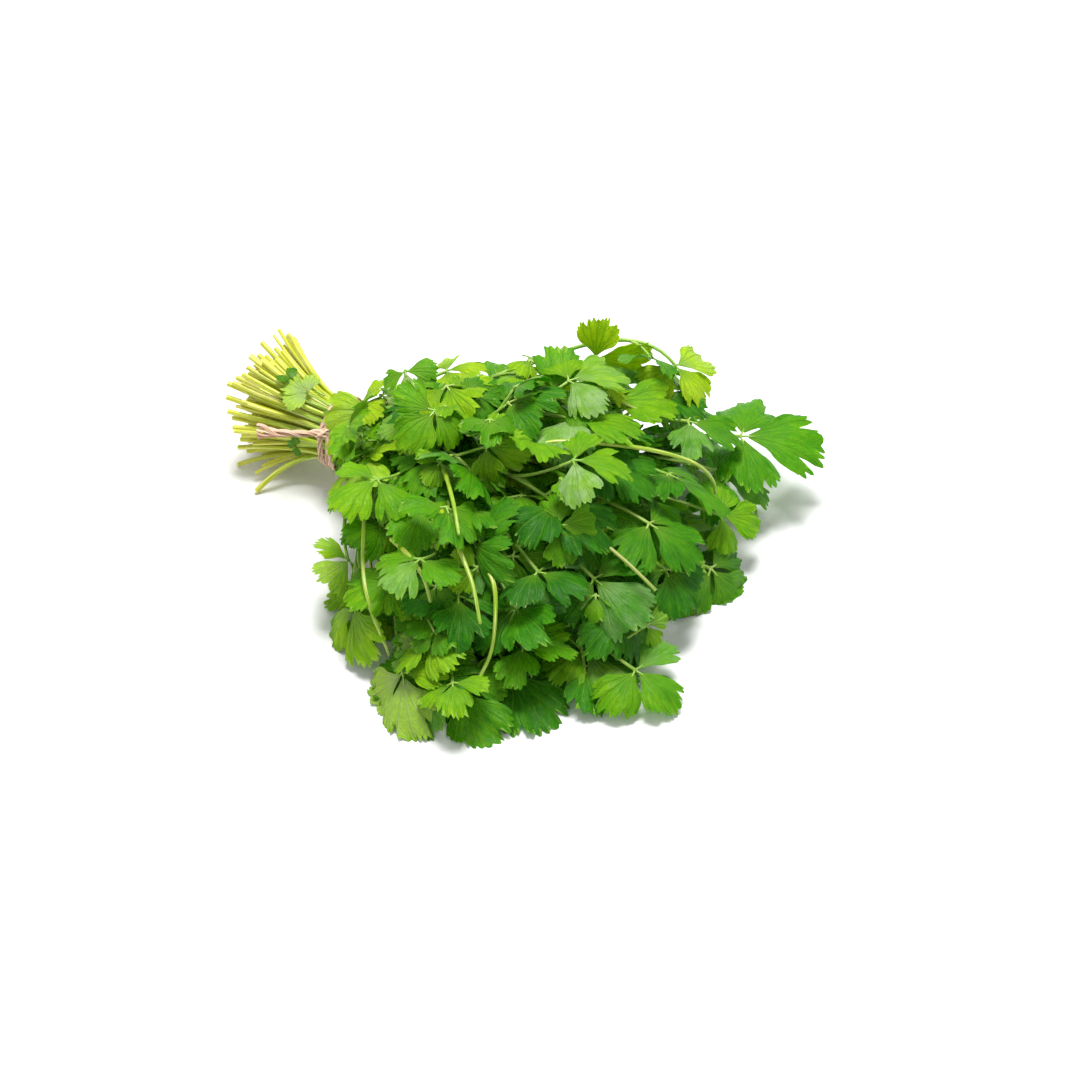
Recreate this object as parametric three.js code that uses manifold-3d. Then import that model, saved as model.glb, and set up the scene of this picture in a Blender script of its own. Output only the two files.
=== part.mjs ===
// A bunch of coriander lying on a table: cut leafy stems held by one raffia tie.
// Millimetres, +Z up. The stems run through the tie along BUNCH_HEADING; their cut ends fan out behind
// it, and in front of it they spread over the surface in a low mound of three-part leaves.
import * as THREE from "three";
import Module from "manifold-3d";

const wasm = await Module();
wasm.setup();

// Driving dimensions.
const BUNCH_HEADING = -27; // degrees from +X, the way the stems run through the tie
const TIE_PLACE = [-83.1, 59]; // X and Y of the tie's centre
const TIE_HEIGHT = 26; // centre of the tie above the surface
const STEM_PITCH = 3.3; // centre to centre of the stems packed in the tie
const STEM_RADIUS = [1.2, 1.5]; // thinnest and thickest stem, at its cut end
const STEM_TIP = 0.75; // radius of a stem where its leaf begins
const STEM_STEPS = { back: 2, front: 5 }; // straight stretches of a stem behind the tie and ahead of it
const CUT_LENGTH = [43, 53]; // shortest and longest stretch from the tie to a cut end
const MOUND_MIDDLE = 80; // from the tie to the middle of the leaves, along SPREAD_HEADING
const SPREAD_HEADING = -30;
const OUTWARD_LEAN = 0.35; // how far a leaf tips outward, per 100 mm from that middle
const MOST_GOES = 80; // poses that are tried for a leaf
const LEAF_REACH = [
  // how far from the tie the leaves reach at each heading
  [12, 60],
  [8, 135],
  [4, 172],
  [0, 200],
  [-6, 220],
  [-12, 195],
  [-26, 204],
  [-36, 178],
  [-41, 172],
  [-47, 210],
  [-54, 192],
  [-62, 196],
  [-72, 194],
  [-80, 172],
  [-88, 120],
  [-93, 112],
];
// The highest a leaf may be: so much level with the tie, near it and farther along, and less by the
// slope for every mm to the back.
const BACK_SLOPE = { slope: 0.9, near: 56, far: 68, farFrom: 80 };
const STRAND = { width: 3, thickness: 1.3 }; // of the tie
const TIE_RADIUS = 16.4; // middle of the strand
const TIE_SIDES = 20;
// How far the cut ends fan out, and how much longer they are at the back, per mm from the middle.
const CUT_SPLAY = { back: 2.3, front: 0.7, rise: 1, longer: 0.7 };

// A leaf has three leaflets, each a toothed fan.
const LEAFLET_LENGTH = 29; // a full-size leaflet, foot to tip
const LEAFLET_FOOT = 0.27; // how far out a leaflet's fan begins, as a share of its length
const FAN_ANGLE = 57; // half of the angle that a leaflet's fan opens to
const END_LEAF = { teeth: 7, lobes: [2, 5] }; // teeth of a leaflet, and after which of them its lobes part
const SIDE_LEAF = { teeth: 5, lobes: [1, 4] };
const BLADE_THICKNESS = 0.9; // where a leaflet is thickest
const THICKEST = 0.3; // that place, as a share of the way from the foot of the fan to its tip
const SLIVER = 0.05; // edges shorter than this are merged where solids join
const CLEAR_THICKNESS = 1.5; // kept free of other stems and leaves
const JOINT_THICKNESS = 1.8; // where the leaflets meet
const JOINT_RADIUS = 1.3; // how far the cuts between leaflets stop from their meeting point
const SIDE_LEAFLET = { angle: 82, size: 0.86 }; // the two side leaflets against the end one
// Side leaves: where their stalks leave a stem ahead of the tie, and the lowest row that has each.
const SIDE_STALKS = {
  from: [0.72, 0.5, 0.3, 0.88],
  lowestRow: [7, 5, 4, 0],
  length: [16, 32],
  radius: [0.8, 0.6],
};
const STALK_STEPS = 2;

const deg = (d) => (d * Math.PI) / 180;
const mix = (a, b, t) => a + (b - a) * t;
const vec = (x, y, z) => new THREE.Vector3(x, y, z);
const UP = vec(0, 0, 1);
const heading = (d) => vec(Math.cos(deg(d)), Math.sin(deg(d)), 0);
const along = (from, dir, d) => from.clone().addScaledVector(dir, d);
const turned = (v, axis, d) => v.clone().applyAxisAngle(axis, deg(d));

// The same number in 0..1 for the same three keys.
function draw(a, b, c) {
  const x = Math.sin(a * 12.9898 + b * 78.233 + c * 37.719 + 4.1) * 43758.5453;
  return x - Math.floor(x);
}
// The same, in -1..1.
const sway = (a, b, c) => 2 * draw(a, b, c) - 1;

const FORWARD = heading(BUNCH_HEADING);
const ACROSS = heading(BUNCH_HEADING + 90);
const TIE = vec(TIE_PLACE[0], TIE_PLACE[1], TIE_HEIGHT);

// The stems as they are packed in the tie: rows from the top row down, each from the back to the front
// and shifted by a share of STEM_PITCH to lie between the stems of the next. A stem's leaf begins at
// reach mm from the tie, at that heading and height. turn is how far its end is bent to the left and
// pitch how far it points above level, size scales its leaf and roll tips the leaf over to its right.
// A stray one may leave the outline of the rest. A bare stem has lost its leaf. cutEnd is the place,
// from the tie's foot, of a cut end that strays from the others.
const ROWS = [
  {
    shift: -0.5,
    stems: [
      { heading: -18, reach: 51, height: 62, size: 0.95, pitch: -5 },
      { heading: -16, reach: 24, height: 48, size: 1.3, turn: 20, pitch: 5 },
      { heading: -62, reach: 80, height: 50, size: 1, pitch: -20 },
    ],
  },
  {
    shift: 0,
    stems: [
      { heading: 8, reach: 49, height: 56, size: 0.6, pitch: 20, stray: true },
      { heading: -6, reach: 24, height: 47, size: 0.8, pitch: 10 },
      { heading: -38, reach: 68, height: 62, size: 0.9, pitch: -10 },
      { heading: -60, reach: 95, height: 46, size: 0.9, pitch: -20 },
      { heading: -68, reach: 34, height: 40, size: 1.1, pitch: -45 },
    ],
  },
  {
    shift: 0.5,
    stems: [
      { heading: 1, reach: 86, height: 66, size: 0.9, pitch: 30 },
      { heading: -22, reach: 112, height: 68, size: 1.15, pitch: 0 },
      { heading: -35, reach: 100, height: 68, size: 1, pitch: -5 },
      { heading: -41, reach: 184, height: 40, pitch: -25, bare: true },
      { heading: -48, reach: 90, height: 61, size: 0.95, pitch: -15 },
      { heading: -58, reach: 118, height: 48, size: 1, pitch: -20 },
      { heading: -73, reach: 78, height: 34, size: 1, pitch: -35 },
    ],
  },
  {
    shift: 0,
    stems: [
      { heading: 3, reach: 152, height: 58, size: 0.85, turn: -55, pitch: -25, roll: 40, stray: true },
      { heading: -8, reach: 122, height: 57, size: 1, pitch: 0 },
      { heading: -29, reach: 134, height: 64, size: 1, pitch: -5 },
      { heading: -42, reach: 131, height: 59, size: 1, pitch: -10 },
      { heading: -52, reach: 146, height: 45, size: 1, pitch: -20 },
      { heading: -65, reach: 133, height: 36, size: 1, pitch: -25 },
      { heading: -78, reach: 52, height: 36, size: 0.8, pitch: -25 },
    ],
  },
  {
    shift: 0,
    stems: [
      { heading: 8, reach: 117, height: 56, size: 0.68, turn: 20, pitch: 35, roll: 75, stray: true },
      { heading: -7, reach: 158, height: 48, size: 1, pitch: -5 },
      { heading: -20, reach: 156, height: 46, size: 1, pitch: -10 },
      { heading: -32, reach: 162, height: 46, size: 1, pitch: -15 },
      { heading: -44, reach: 158, height: 36, size: 1, pitch: -20 },
      { heading: -57, reach: 148, height: 33, size: 1, pitch: -25 },
      { heading: -72, reach: 144, height: 24, size: 0.9, pitch: -20 },
      { heading: -82, reach: 94, height: 27, size: 0.85, pitch: -20 },
    ],
  },
  {
    shift: 0,
    stems: [
      { heading: -4, reach: 182, height: 34, size: 1.22, pitch: 0, roll: 15, stray: true },
      { heading: -19, reach: 180, height: 27, size: 1, pitch: -10 },
      { heading: -34, reach: 174, height: 30, size: 1, pitch: -20 },
      { heading: -44, reach: 170, height: 24, size: 1, pitch: -20 },
      { heading: -58, reach: 158, height: 20, size: 1, pitch: -20 },
      { heading: -74, reach: 152, height: 13, size: 1, pitch: -15 },
      { heading: -85, reach: 84, height: 23, size: 0.82, turn: 14, pitch: -20, stray: true },
    ],
  },
  {
    shift: -0.5,
    stems: [
      { heading: -10, reach: 172, height: 28, size: 1.05, pitch: -15, roll: 20 },
      { heading: -26, reach: 184, height: 15, size: 1.25, pitch: -10 },
      { heading: -34, reach: 166, height: 15, size: 1, pitch: -15 },
      { heading: -47, reach: 192, height: 12, size: 0.95, turn: 6, pitch: -5, stray: true },
      { heading: -69, reach: 158, height: 10, size: 1.1, pitch: -10 },
      { heading: -77, reach: 148, height: 14, size: 1.1, pitch: -15 },
      { heading: -84, reach: 108, height: 18, size: 1.05, pitch: -20 },
    ],
  },
  {
    shift: -0.5,
    stems: [
      { heading: -14, reach: 132, height: 7, size: 1, pitch: 0 },
      { heading: -29, reach: 150, height: 6, size: 1, pitch: 0 },
      { heading: -41, reach: 172, height: 8, size: 0.85, pitch: 10 },
      { heading: -49, reach: 166, height: 9, size: 1, pitch: -5 },
      { heading: -60, reach: 156, height: 7, size: 1.35, pitch: -5 },
      { heading: -80, reach: 48, height: 16, pitch: 0, bare: true, cutEnd: [-40, -13, 1.4] },
    ],
  },
  {
    shift: 0,
    stems: [
      { heading: -22, reach: 84, height: 1, size: 0.9, pitch: 0 },
      { heading: -42, reach: 96, height: 1, size: 1, pitch: 0 },
      { heading: -60, reach: 92, height: 1, size: 0.9, pitch: 0 },
      { heading: -78, reach: 84, height: 6, size: 1, pitch: 0, cutEnd: [-50, 6, 1.5] },
    ],
  },
];

// Every stem with its place in the tie.
function sprigsInTie() {
  const rowPitch = (STEM_PITCH * Math.sqrt(3)) / 2;
  return ROWS.flatMap(({ shift, stems }, r) =>
    stems.map((tip, c) => ({
      ...tip,
      row: r,
      across: ((stems.length - 1) / 2 - c + shift) * STEM_PITCH,
      above: ((ROWS.length - 1) / 2 - r) * rowPitch,
    })),
  ).map((sprig, i) => ({
    ...sprig,
    key: i + 1,
    radius: mix(...STEM_RADIUS, draw(i + 1, 1, 0)),
    cut: mix(...CUT_LENGTH, draw(i + 1, 2, 0)),
  }));
}

// Points along a stem from its cut end to its leaf, and the direction it ends in.
function stemPath(s, backSteps, frontSteps) {
  const inTie = along(along(TIE, ACROSS, s.across), UP, s.above);
  const splay = s.across * (s.across > 0 ? CUT_SPLAY.back : CUT_SPLAY.front);
  const length = s.cut + CUT_SPLAY.longer * Math.max(0, s.across);
  const fanned = along(along(along(inTie, FORWARD, -length), ACROSS, splay), UP, s.above * CUT_SPLAY.rise);
  const cutEnd = s.cutEnd ? vec(...s.cutEnd).add(vec(TIE.x, TIE.y, 0)) : fanned;
  const back = new THREE.QuadraticBezierCurve3(cutEnd, along(inTie, FORWARD, -s.cut * 0.4), inTie);

  const out = heading(s.heading);
  const tip = along(vec(TIE.x, TIE.y, s.height), out, s.reach);
  const level = turned(out, UP, s.turn ?? 0).multiplyScalar(Math.cos(deg(s.pitch)));
  const end = along(level, UP, Math.sin(deg(s.pitch)));
  const front = new THREE.CubicBezierCurve3(
    inTie,
    along(along(along(inTie, FORWARD, s.reach * 0.3), ACROSS, s.across * 0.5), UP, s.above * 0.5),
    along(tip, end, -s.reach * 0.33),
    tip,
  );
  const points = [...back.getPoints(backSteps), ...front.getPoints(frontSteps).slice(1)];
  return { points, end };
}

// A closed solid from shared points and outward triangles.
function solidFrom(points, triangles) {
  const mesh = new wasm.Mesh({
    numProp: 3,
    vertProperties: new Float32Array(points.flatMap((p) => [p.x, p.y, p.z])),
    triVerts: new Uint32Array(triangles.flat()),
  });
  return new wasm.Manifold(mesh);
}

// The direction of a path at its point i.
function wayAt(path, i) {
  const ahead = path[Math.min(i + 1, path.length - 1)];
  return ahead.clone().sub(path[Math.max(i - 1, 0)]).normalize();
}

// Rings of points round a path, with a radius for each. The first point of a ring is to its left.
function ringsAlong(path, radii) {
  let side = UP;
  return path.map((p, i) => {
    const tangent = wayAt(path, i);
    side = i === 0 ? UP.clone().cross(tangent) : side.clone().addScaledVector(tangent, -side.dot(tangent));
    side.normalize();
    const other = tangent.clone().cross(side);
    return [0, 1, 2, 3].map((k) => {
      const a = (k * Math.PI) / 2;
      return along(along(p, side, radii[i] * Math.cos(a)), other, radii[i] * Math.sin(a));
    });
  });
}

// The triangles of a tube through rings of four points, given as the index of each ring's points.
function tubeTriangles(rings) {
  const triangles = [];
  rings.slice(1).forEach((ring, i) => {
    const before = rings[i];
    for (let k = 0; k < 4; k++) {
      const next = (k + 1) % 4;
      triangles.push([before[k], before[next], ring[next]], [before[k], ring[next], ring[k]]);
    }
  });
  return triangles;
}

// The three leaflets of a leaf that is joined to its stem at leaf.at, points along leaf.forward and
// faces leaf.face. Each has its own slight twist and droop.
function leafletsOf(leaf) {
  return [SIDE_LEAFLET.angle, 0, -SIDE_LEAFLET.angle].map((angle, n) => {
    const own = leaf.key * 10 + n;
    let axis = turned(leaf.forward, leaf.face, angle + 3 * sway(own, 1, leaf.go));
    const right = axis.clone().cross(leaf.face);
    axis = turned(axis, right, 8 - 16 * draw(own, 2, leaf.go));
    const face = turned(right.clone().cross(axis), axis, 14 * sway(own, 3, leaf.go));
    const size = leaf.size * (n === 1 ? 1 : SIDE_LEAFLET.size) * mix(0.9, 1.08, draw(own, 4, 0));
    return {
      joint: leaf.at,
      axis,
      face,
      left: face.clone().cross(axis),
      length: LEAFLET_LENGTH * size,
      droop: 0.16 + 0.2 * draw(own, 5, leaf.go),
      cup: 0.22 * sway(own, 6, leaf.go),
    };
  });
}

// The point, or where it meets the given height when it is lower.
const notBelow = (p, height) => vec(p.x, p.y, Math.max(p.z, height));

// A point of a leaflet: across is -1 at its right side and 1 at its left, out is 0 at the foot of its fan
// and 1 at the tip. Nothing of a leaf goes below the surface that the bunch lies on.
function leafletPoint(leaflet, across, out, above = 0) {
  const angle = deg(FAN_ANGLE) * across;
  const r = leaflet.length * (1 - LEAFLET_FOOT) * out;
  const ahead = leaflet.length * LEAFLET_FOOT + r * Math.cos(angle);
  const lift = leaflet.length * (leaflet.cup * (across * out) ** 2 - leaflet.droop * out * out);
  const flat = along(along(leaflet.joint, leaflet.axis, ahead), leaflet.left, r * Math.sin(angle));
  return notBelow(along(flat, leaflet.face, lift + above), Math.max(2 * above, 0));
}

// The toothed edge of a leaflet from its left side to its right: the tips and the cuts between them.
function toothedEdge({ teeth, lobes }) {
  const edge = [];
  for (let i = 2 * teeth - 1; i > 0; i--) {
    const across = i / teeth - 1;
    const round = 1 - 0.1 * across ** 2 - 0.14 * across ** 4;
    const isTip = i % 2 === 1;
    const cut = lobes.includes(i / 2) ? 0.66 : 0.86;
    edge.push({ across, out: isTip ? round : cut * round });
  }
  return edge;
}

// A leaf as one blade: a sharp-edged toothed outline round three leaflets that are thickest in the
// middle, with both faces split into triangles alike. It is added to points, and its stalk's last ring
// is the one that is returned.
function addBlade(leaf, thickness, points, triangles) {
  const add = (p) => points.push(p) - 1;
  const half = JOINT_THICKNESS / 2;
  const [top, bottom] = [half, -half].map((d) => add(notBelow(along(leaf.at, leaf.face, d), half + d)));
  const cuts = [1.5, 0.5, -0.5, -1.5].map((share) => {
    const way = turned(leaf.forward, leaf.face, SIDE_LEAFLET.angle * share);
    return add(notBelow(along(leaf.at, way, JOINT_RADIUS), 0));
  });
  leafletsOf(leaf).forEach((leaflet, n) => {
    const [over, under] = [1, -1].map((k) => add(leafletPoint(leaflet, 0, THICKEST, (k * thickness) / 2)));
    const teeth = toothedEdge(leaf.form).map((e) => add(leafletPoint(leaflet, e.across, e.out)));
    const edge = [cuts[n], ...teeth, cuts[n + 1]];
    for (let i = 0; i + 1 < edge.length; i++) {
      triangles.push([over, edge[i + 1], edge[i]], [under, edge[i], edge[i + 1]]);
    }
    triangles.push([over, edge[0], top], [over, top, edge.at(-1)]);
    triangles.push([under, bottom, edge[0]], [under, edge.at(-1), bottom]);
  });
  return [cuts[0], top, cuts[3], bottom];
}

// A stem or stalk through the points, with a flat cut where it begins. It ends in a leaf, or in another
// flat cut where there is none.
function grown(path, radii, leaf, thickness = BLADE_THICKNESS) {
  const rings = ringsAlong(path, radii);
  if (leaf) rings.pop();
  const points = rings.flat();
  const indices = rings.map((ring, i) => ring.map((_, k) => i * 4 + k));
  const [a, b, c, d] = indices[0];
  const triangles = [[a, c, b], [a, d, c]];
  if (leaf) {
    const joint = addBlade(leaf, thickness, points, triangles);
    const last = rings.at(-1);
    const middle = last[0].clone().add(last[2]).divideScalar(2);
    const leans = last.map((p) => p.clone().sub(middle).dot(leaf.face));
    const turn = 5 - leans.indexOf(Math.max(...leans));
    indices.push(joint.map((_, k) => joint[(k + turn) % 4]));
  } else {
    const [e, f, g, h] = indices.at(-1);
    triangles.push([e, f, g], [e, g, h]);
  }
  triangles.push(...tubeTriangles(indices));
  return solidFrom(points, triangles);
}

// Whether the leaflets of a leaf keep to their own thirds of it, so that none folds over another.
function leafletsApart(leaf) {
  const left = leaf.face.clone().cross(leaf.forward);
  return leafletsOf(leaf).every((leaflet, n) =>
    toothedEdge(leaf.form).every(({ across, out }) => {
      const p = leafletPoint(leaflet, across, out).sub(leaf.at);
      const angle = (Math.atan2(p.dot(left), p.dot(leaf.forward)) * 180) / Math.PI;
      return Math.abs(angle - SIDE_LEAFLET.angle * (1 - n)) < SIDE_LEAFLET.angle / 2 - 0.5;
    }),
  );
}

// The way a leaf faces: up, leaning out from the mound's middle, and rolled about its own length.
function faceOf(at, forward, roll) {
  const middle = along(vec(TIE.x, TIE.y, 0), heading(SPREAD_HEADING), MOUND_MIDDLE);
  const lean = vec(at.x - middle.x, at.y - middle.y, 0).multiplyScalar(OUTWARD_LEAN / 100);
  const face = UP.clone().add(lean);
  face.addScaledVector(forward, -face.dot(forward)).normalize();
  return turned(face, forward, roll);
}

// The pose of a leaf for one of its goes: the first is the plain one, and each later one is bent and
// turned further and is a little smaller.
function leafPose(key, form, at, forward, size, go, ownRoll = 0) {
  const bend = Math.min(1, go / 12);
  const yawed = turned(forward, UP, 38 * bend * sway(key, 7, go));
  const sideways = yawed.clone().cross(UP).normalize();
  const pointed = turned(yawed, sideways, 45 * bend * sway(key, 8, go));
  const roll = ownRoll + (12 + 40 * bend) * sway(key, 9, go);
  const shrunk = size * (1 - 0.4 * (go / MOST_GOES) ** 1.5);
  return { key, form, go, at, forward: pointed, face: faceOf(at, pointed, roll), size: shrunk };
}

// Whether a leaf keeps to the bunch's outline in plan, and under the mound's slope down to its back.
function inOutline(leaf) {
  return leafletsOf(leaf).every((leaflet) => {
    const p = leafletPoint(leaflet, 0, 1);
    const [x, y] = [p.x - TIE.x, p.y - TIE.y];
    const toward = (Math.atan2(y, x) * 180) / Math.PI;
    const next = LEAF_REACH.findIndex(([h]) => h <= toward);
    if (next < 1) return false;
    const [[h0, r0], [h1, r1]] = [LEAF_REACH[next - 1], LEAF_REACH[next]];
    const reach = mix(r0, r1, (toward - h0) / (h1 - h0));
    const { slope, near, far, farFrom } = BACK_SLOPE;
    return Math.hypot(x, y) < reach && p.z < (x < farFrom ? near : far) - slope * y;
  });
}

const boxesMeet = (a, b) => [0, 1, 2].every((i) => a.min[i] <= b.max[i] && b.min[i] <= a.max[i]);
const overlaps = (solid, others) => {
  const box = solid.boundingBox();
  return others.some((o) => boxesMeet(box, o.box) && !solid.intersect(o.solid).isEmpty());
};

// A flat strand through the points: wide and thick at each, with its flat side facing outward there.
function strand(points, outward, widths, thicknesses) {
  const rings = points.map((p, i) => {
    const tangent = wayAt(points, i);
    const left = outward[i].clone().cross(tangent).normalize();
    const out = tangent.clone().cross(left);
    const [w, t] = [widths[i] / 2, thicknesses[i] / 2];
    return [along(p, left, w), along(p, out, t), along(p, left, -w), along(p, out, -t)];
  });
  const indices = rings.map((ring, i) => ring.map((_, k) => i * 4 + k));
  const [a, b, c, d] = indices[0];
  const [e, f, g, h] = indices.at(-1);
  const ends = [[a, c, b], [a, d, c], [e, f, g], [e, g, h]];
  return solidFrom(rings.flat(), [...tubeTriangles(indices), ...ends]);
}

// A place at the tie: degrees round it from its back side over the top, out from its middle, and ahead.
function byTie(angle, radius, ahead) {
  const way = ACROSS.clone().multiplyScalar(Math.cos(deg(angle))).addScaledVector(UP, Math.sin(deg(angle)));
  return along(along(TIE, way, radius), FORWARD, ahead);
}

// A turn of the tie round the stems, as a closed ring, leaning by tilt along them and looser by so much.
function tieTurn(offset, tilt, looser) {
  const points = [];
  const indices = [];
  for (let i = 0; i <= TIE_SIDES; i++) {
    indices.push([0, 1, 2, 3].map((k) => (i % TIE_SIDES) * 4 + k));
    if (i === TIE_SIDES) break;
    const angle = (360 * i) / TIE_SIDES;
    const ahead = offset + tilt * Math.cos(deg(angle + 35));
    for (const [w, t] of [[1, 0], [0, 1], [-1, 0], [0, -1]]) {
      const radius = TIE_RADIUS + looser + (t * STRAND.thickness) / 2;
      points.push(byTie(angle, radius, ahead + (w * STRAND.width) / 2));
    }
  }
  return solidFrom(points, tubeTriangles(indices));
}

// An end of the tie or half of a knot: a strand through places at the tie, spaced evenly along it.
function tail(places, widths, thickness) {
  const points = new THREE.CatmullRomCurve3(places.map((p) => byTie(...p))).getPoints(widths.length - 1);
  const outward = points.map((p) => {
    const out = p.clone().sub(TIE);
    return out.addScaledVector(FORWARD, -out.dot(FORWARD)).normalize();
  });
  return strand(points, outward, widths, widths.map(() => thickness));
}

// The tie: two turns with a knot on the front of the neck and another on top, a long flared end back
// over the cut stems, a short one down, and a thin curled one forward over the top.
function tieSolid() {
  const frontKnot = [[176, 17.2, 3], [186, 18.6, 0], [194, 18.2, -3]];
  const topKnot = [[80, 17.4, -3], [88, 18.4, 0], [98, 17.4, 3]];
  const longEnd = [[184, 18.4, 0], [176, 19.6, -9], [170, 23, -20], [168, 27.5, -33]];
  const shortEnd = [[188, 18.2, 0], [200, 18.8, 3], [214, 19.5, 7]];
  const curledEnd = [[88, 17.9, 0], [84, 20, 6], [88, 22.5, 11], [100, 23.5, 15], [104, 25, 18]];
  const parts = [
    tieTurn(-1.3, 0.9, 0),
    tieTurn(1.3, -0.9, 0.3),
    tail(frontKnot, [2, 5.5, 5.5, 2], 4.6),
    tail(topKnot, [2, 4.4, 4.4, 2], 3.6),
    tail(longEnd, [3, 3.4, 3, 3.4, 4.4, 6.4, 7], 1.1),
    tail(shortEnd, [3, 3.2, 4.4, 5.5], 1.1),
    tail(curledEnd, [1.6, 1.6, 1.5, 1.4, 1.3, 1.2], 1.1),
  ];
  return wasm.Manifold.union(parts).simplify(SLIVER);
}

// A leaf on a stalk of its own from the side of a stem, and the room it needs, for one of its goes. n
// counts the stem's side leaves from the tip. Nothing comes back when it would leave the outline.
function sideLeaf(s, n, go) {
  const key = s.key * 10 + n;
  const share = SIDE_STALKS.from[n - 1] + 0.12 * draw(key, 1, go) - 0.04;
  const step = share * STEM_STEPS.front + STEM_STEPS.back;
  const [from, to] = [s.path[Math.floor(step)], s.path[Math.floor(step) + 1]];
  const root = from.clone().lerp(to, step % 1);
  const stemWay = to.clone().sub(from).normalize();
  const side = draw(key, 2, Math.floor(go / 3)) < 0.5 ? 1 : -1;
  const out = turned(stemWay, UP, side * mix(18, 42, draw(key, 3, go)));
  const shorter = 1 - 0.4 * Math.min(1, go / 12) * draw(key, 5, go);
  const length = mix(...SIDE_STALKS.length, draw(key, 4, go)) * shorter;
  const rise = length * mix(-0.35, 0.55, draw(key, 6, go));
  const tip = notBelow(along(along(root, out, length), UP, rise), 1);
  const middle = notBelow(along(along(root, stemWay, length * 0.45), UP, rise * 0.3), 1);
  const curve = new THREE.QuadraticBezierCurve3(root, middle, tip);
  const end = curve.getTangent(1);
  const forward = end.setZ(end.z * 0.5 - 0.15).normalize();
  const size = s.size * mix(0.75, 0.95, draw(key, 7, 0));
  const leaf = leafPose(key, SIDE_LEAF, tip, forward, size, go);
  if (!inOutline(leaf) || !leafletsApart(leaf)) return null;
  const path = curve.getPoints(STALK_STEPS);
  const radii = path.map((_, i) => mix(...SIDE_STALKS.radius, i / STALK_STEPS));
  return { room: grown(path, radii, leaf, CLEAR_THICKNESS), solid: grown(path, radii, leaf) };
}

// The leaf at the end of a stem, grown in one with it, and the room it needs, for one of its goes. The
// later goes may leave the outline.
function endLeaf(s, go) {
  const leaf = leafPose(s.key * 10, END_LEAF, s.path.at(-1), s.end, s.size, go, s.roll);
  if (!s.stray && go < 0.8 * MOST_GOES && !inOutline(leaf)) return null;
  if (!leafletsApart(leaf)) return null;
  return { room: grown(s.path, s.radii, leaf, CLEAR_THICKNESS), solid: grown(s.path, s.radii, leaf) };
}

// Every stem and the tie round them come first. taken holds all that a further leaf stays clear of.
const sprigs = sprigsInTie();
const taken = [];
const take = (owner, solid) => taken.push({ owner, solid, box: solid.boundingBox() });
for (const s of sprigs) {
  const { points, end } = stemPath(s, STEM_STEPS.back, STEM_STEPS.front);
  const thinning = (i) => Math.max(0, (i - STEM_STEPS.back) / STEM_STEPS.front);
  s.path = points;
  s.end = end;
  s.radii = points.map((_, i) => mix(s.radius, STEM_TIP, thinning(i)));
  s.solid = grown(s.path, s.radii);
  take(s, s.solid);
}
const tie = tieSolid();
take(null, tie);

// Takes the first of a leaf's goes that is clear of everything but what it grows from. join makes it
// one with its stem.
function settle(s, makeLeaf, isOwn, join) {
  const others = taken.filter((o) => !isOwn(o));
  for (let go = 0; go < MOST_GOES; go++) {
    const made = makeLeaf(go);
    if (!made || overlaps(made.room, others)) continue;
    const whole = join(made.solid);
    if (whole.decompose().length > 1) continue;
    s.solid = whole;
    s.leaves = (s.leaves ?? 0) + 1;
    take(s, made.solid);
    return;
  }
}

// The end leaves follow from the lowest stem up, and the side leaves from the highest down.
const leafy = sprigs.filter((s) => !s.bare);
for (const s of leafy.toReversed()) {
  settle(s, (go) => endLeaf(s, go), (o) => o.owner === s, (solid) => solid);
  s.own = taken.filter((o) => o.owner === s);
}
SIDE_STALKS.lowestRow.forEach((lowest, i) => {
  for (const s of leafy.filter((sprig) => sprig.row <= lowest)) {
    const join = (solid) => wasm.Manifold.union([s.solid, solid]).simplify(SLIVER);
    settle(s, (go) => sideLeaf(s, i + 1, go), (o) => s.own.includes(o), join);
  }
});

function meshOf(name, solid, material) {
  const { vertProperties, triVerts } = solid.getMesh();
  const geometry = new THREE.BufferGeometry();
  geometry.setAttribute("position", new THREE.BufferAttribute(vertProperties, 3));
  geometry.setIndex(new THREE.BufferAttribute(triVerts, 1));
  const mesh = new THREE.Mesh(geometry, material);
  mesh.name = name;
  return mesh;
}

const leafGreen = new THREE.MeshStandardMaterial({ color: 0x4f9a1d, roughness: 0.55, metalness: 0 });
const stemGreen = new THREE.MeshStandardMaterial({ color: 0xb5cc62, roughness: 0.5, metalness: 0 });
const raffia = new THREE.MeshStandardMaterial({ color: 0xd6a184, roughness: 0.85, metalness: 0 });
const numbered = (word, i) => `${word}_${String(i + 1).padStart(2, "0")}`;

const bunch = new THREE.Group();
const withLeaves = sprigs.filter((s) => s.leaves);
const withoutLeaves = sprigs.filter((s) => !s.leaves);
withLeaves.forEach((s, i) => bunch.add(meshOf(numbered("sprig", i), s.solid, leafGreen)));
withoutLeaves.forEach((s, i) => bunch.add(meshOf(numbered("stem", i), s.solid, stemGreen)));
bunch.add(meshOf("tie", tie, raffia));
export default bunch;
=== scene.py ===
"""A bunch of fresh coriander held by a raffia tie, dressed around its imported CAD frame.

Every stem and leaf grows again on its own CAD node: the stem as a ribbed tube on the same curve, and each
leaf as three finely toothed, veined blades where the node's leaf is. Small leaves, loose stems and more cut
stems, which no node holds, fill the bunch between them. Lengths are in millimetres until a mesh is made.
"""
import math
from itertools import islice

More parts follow.
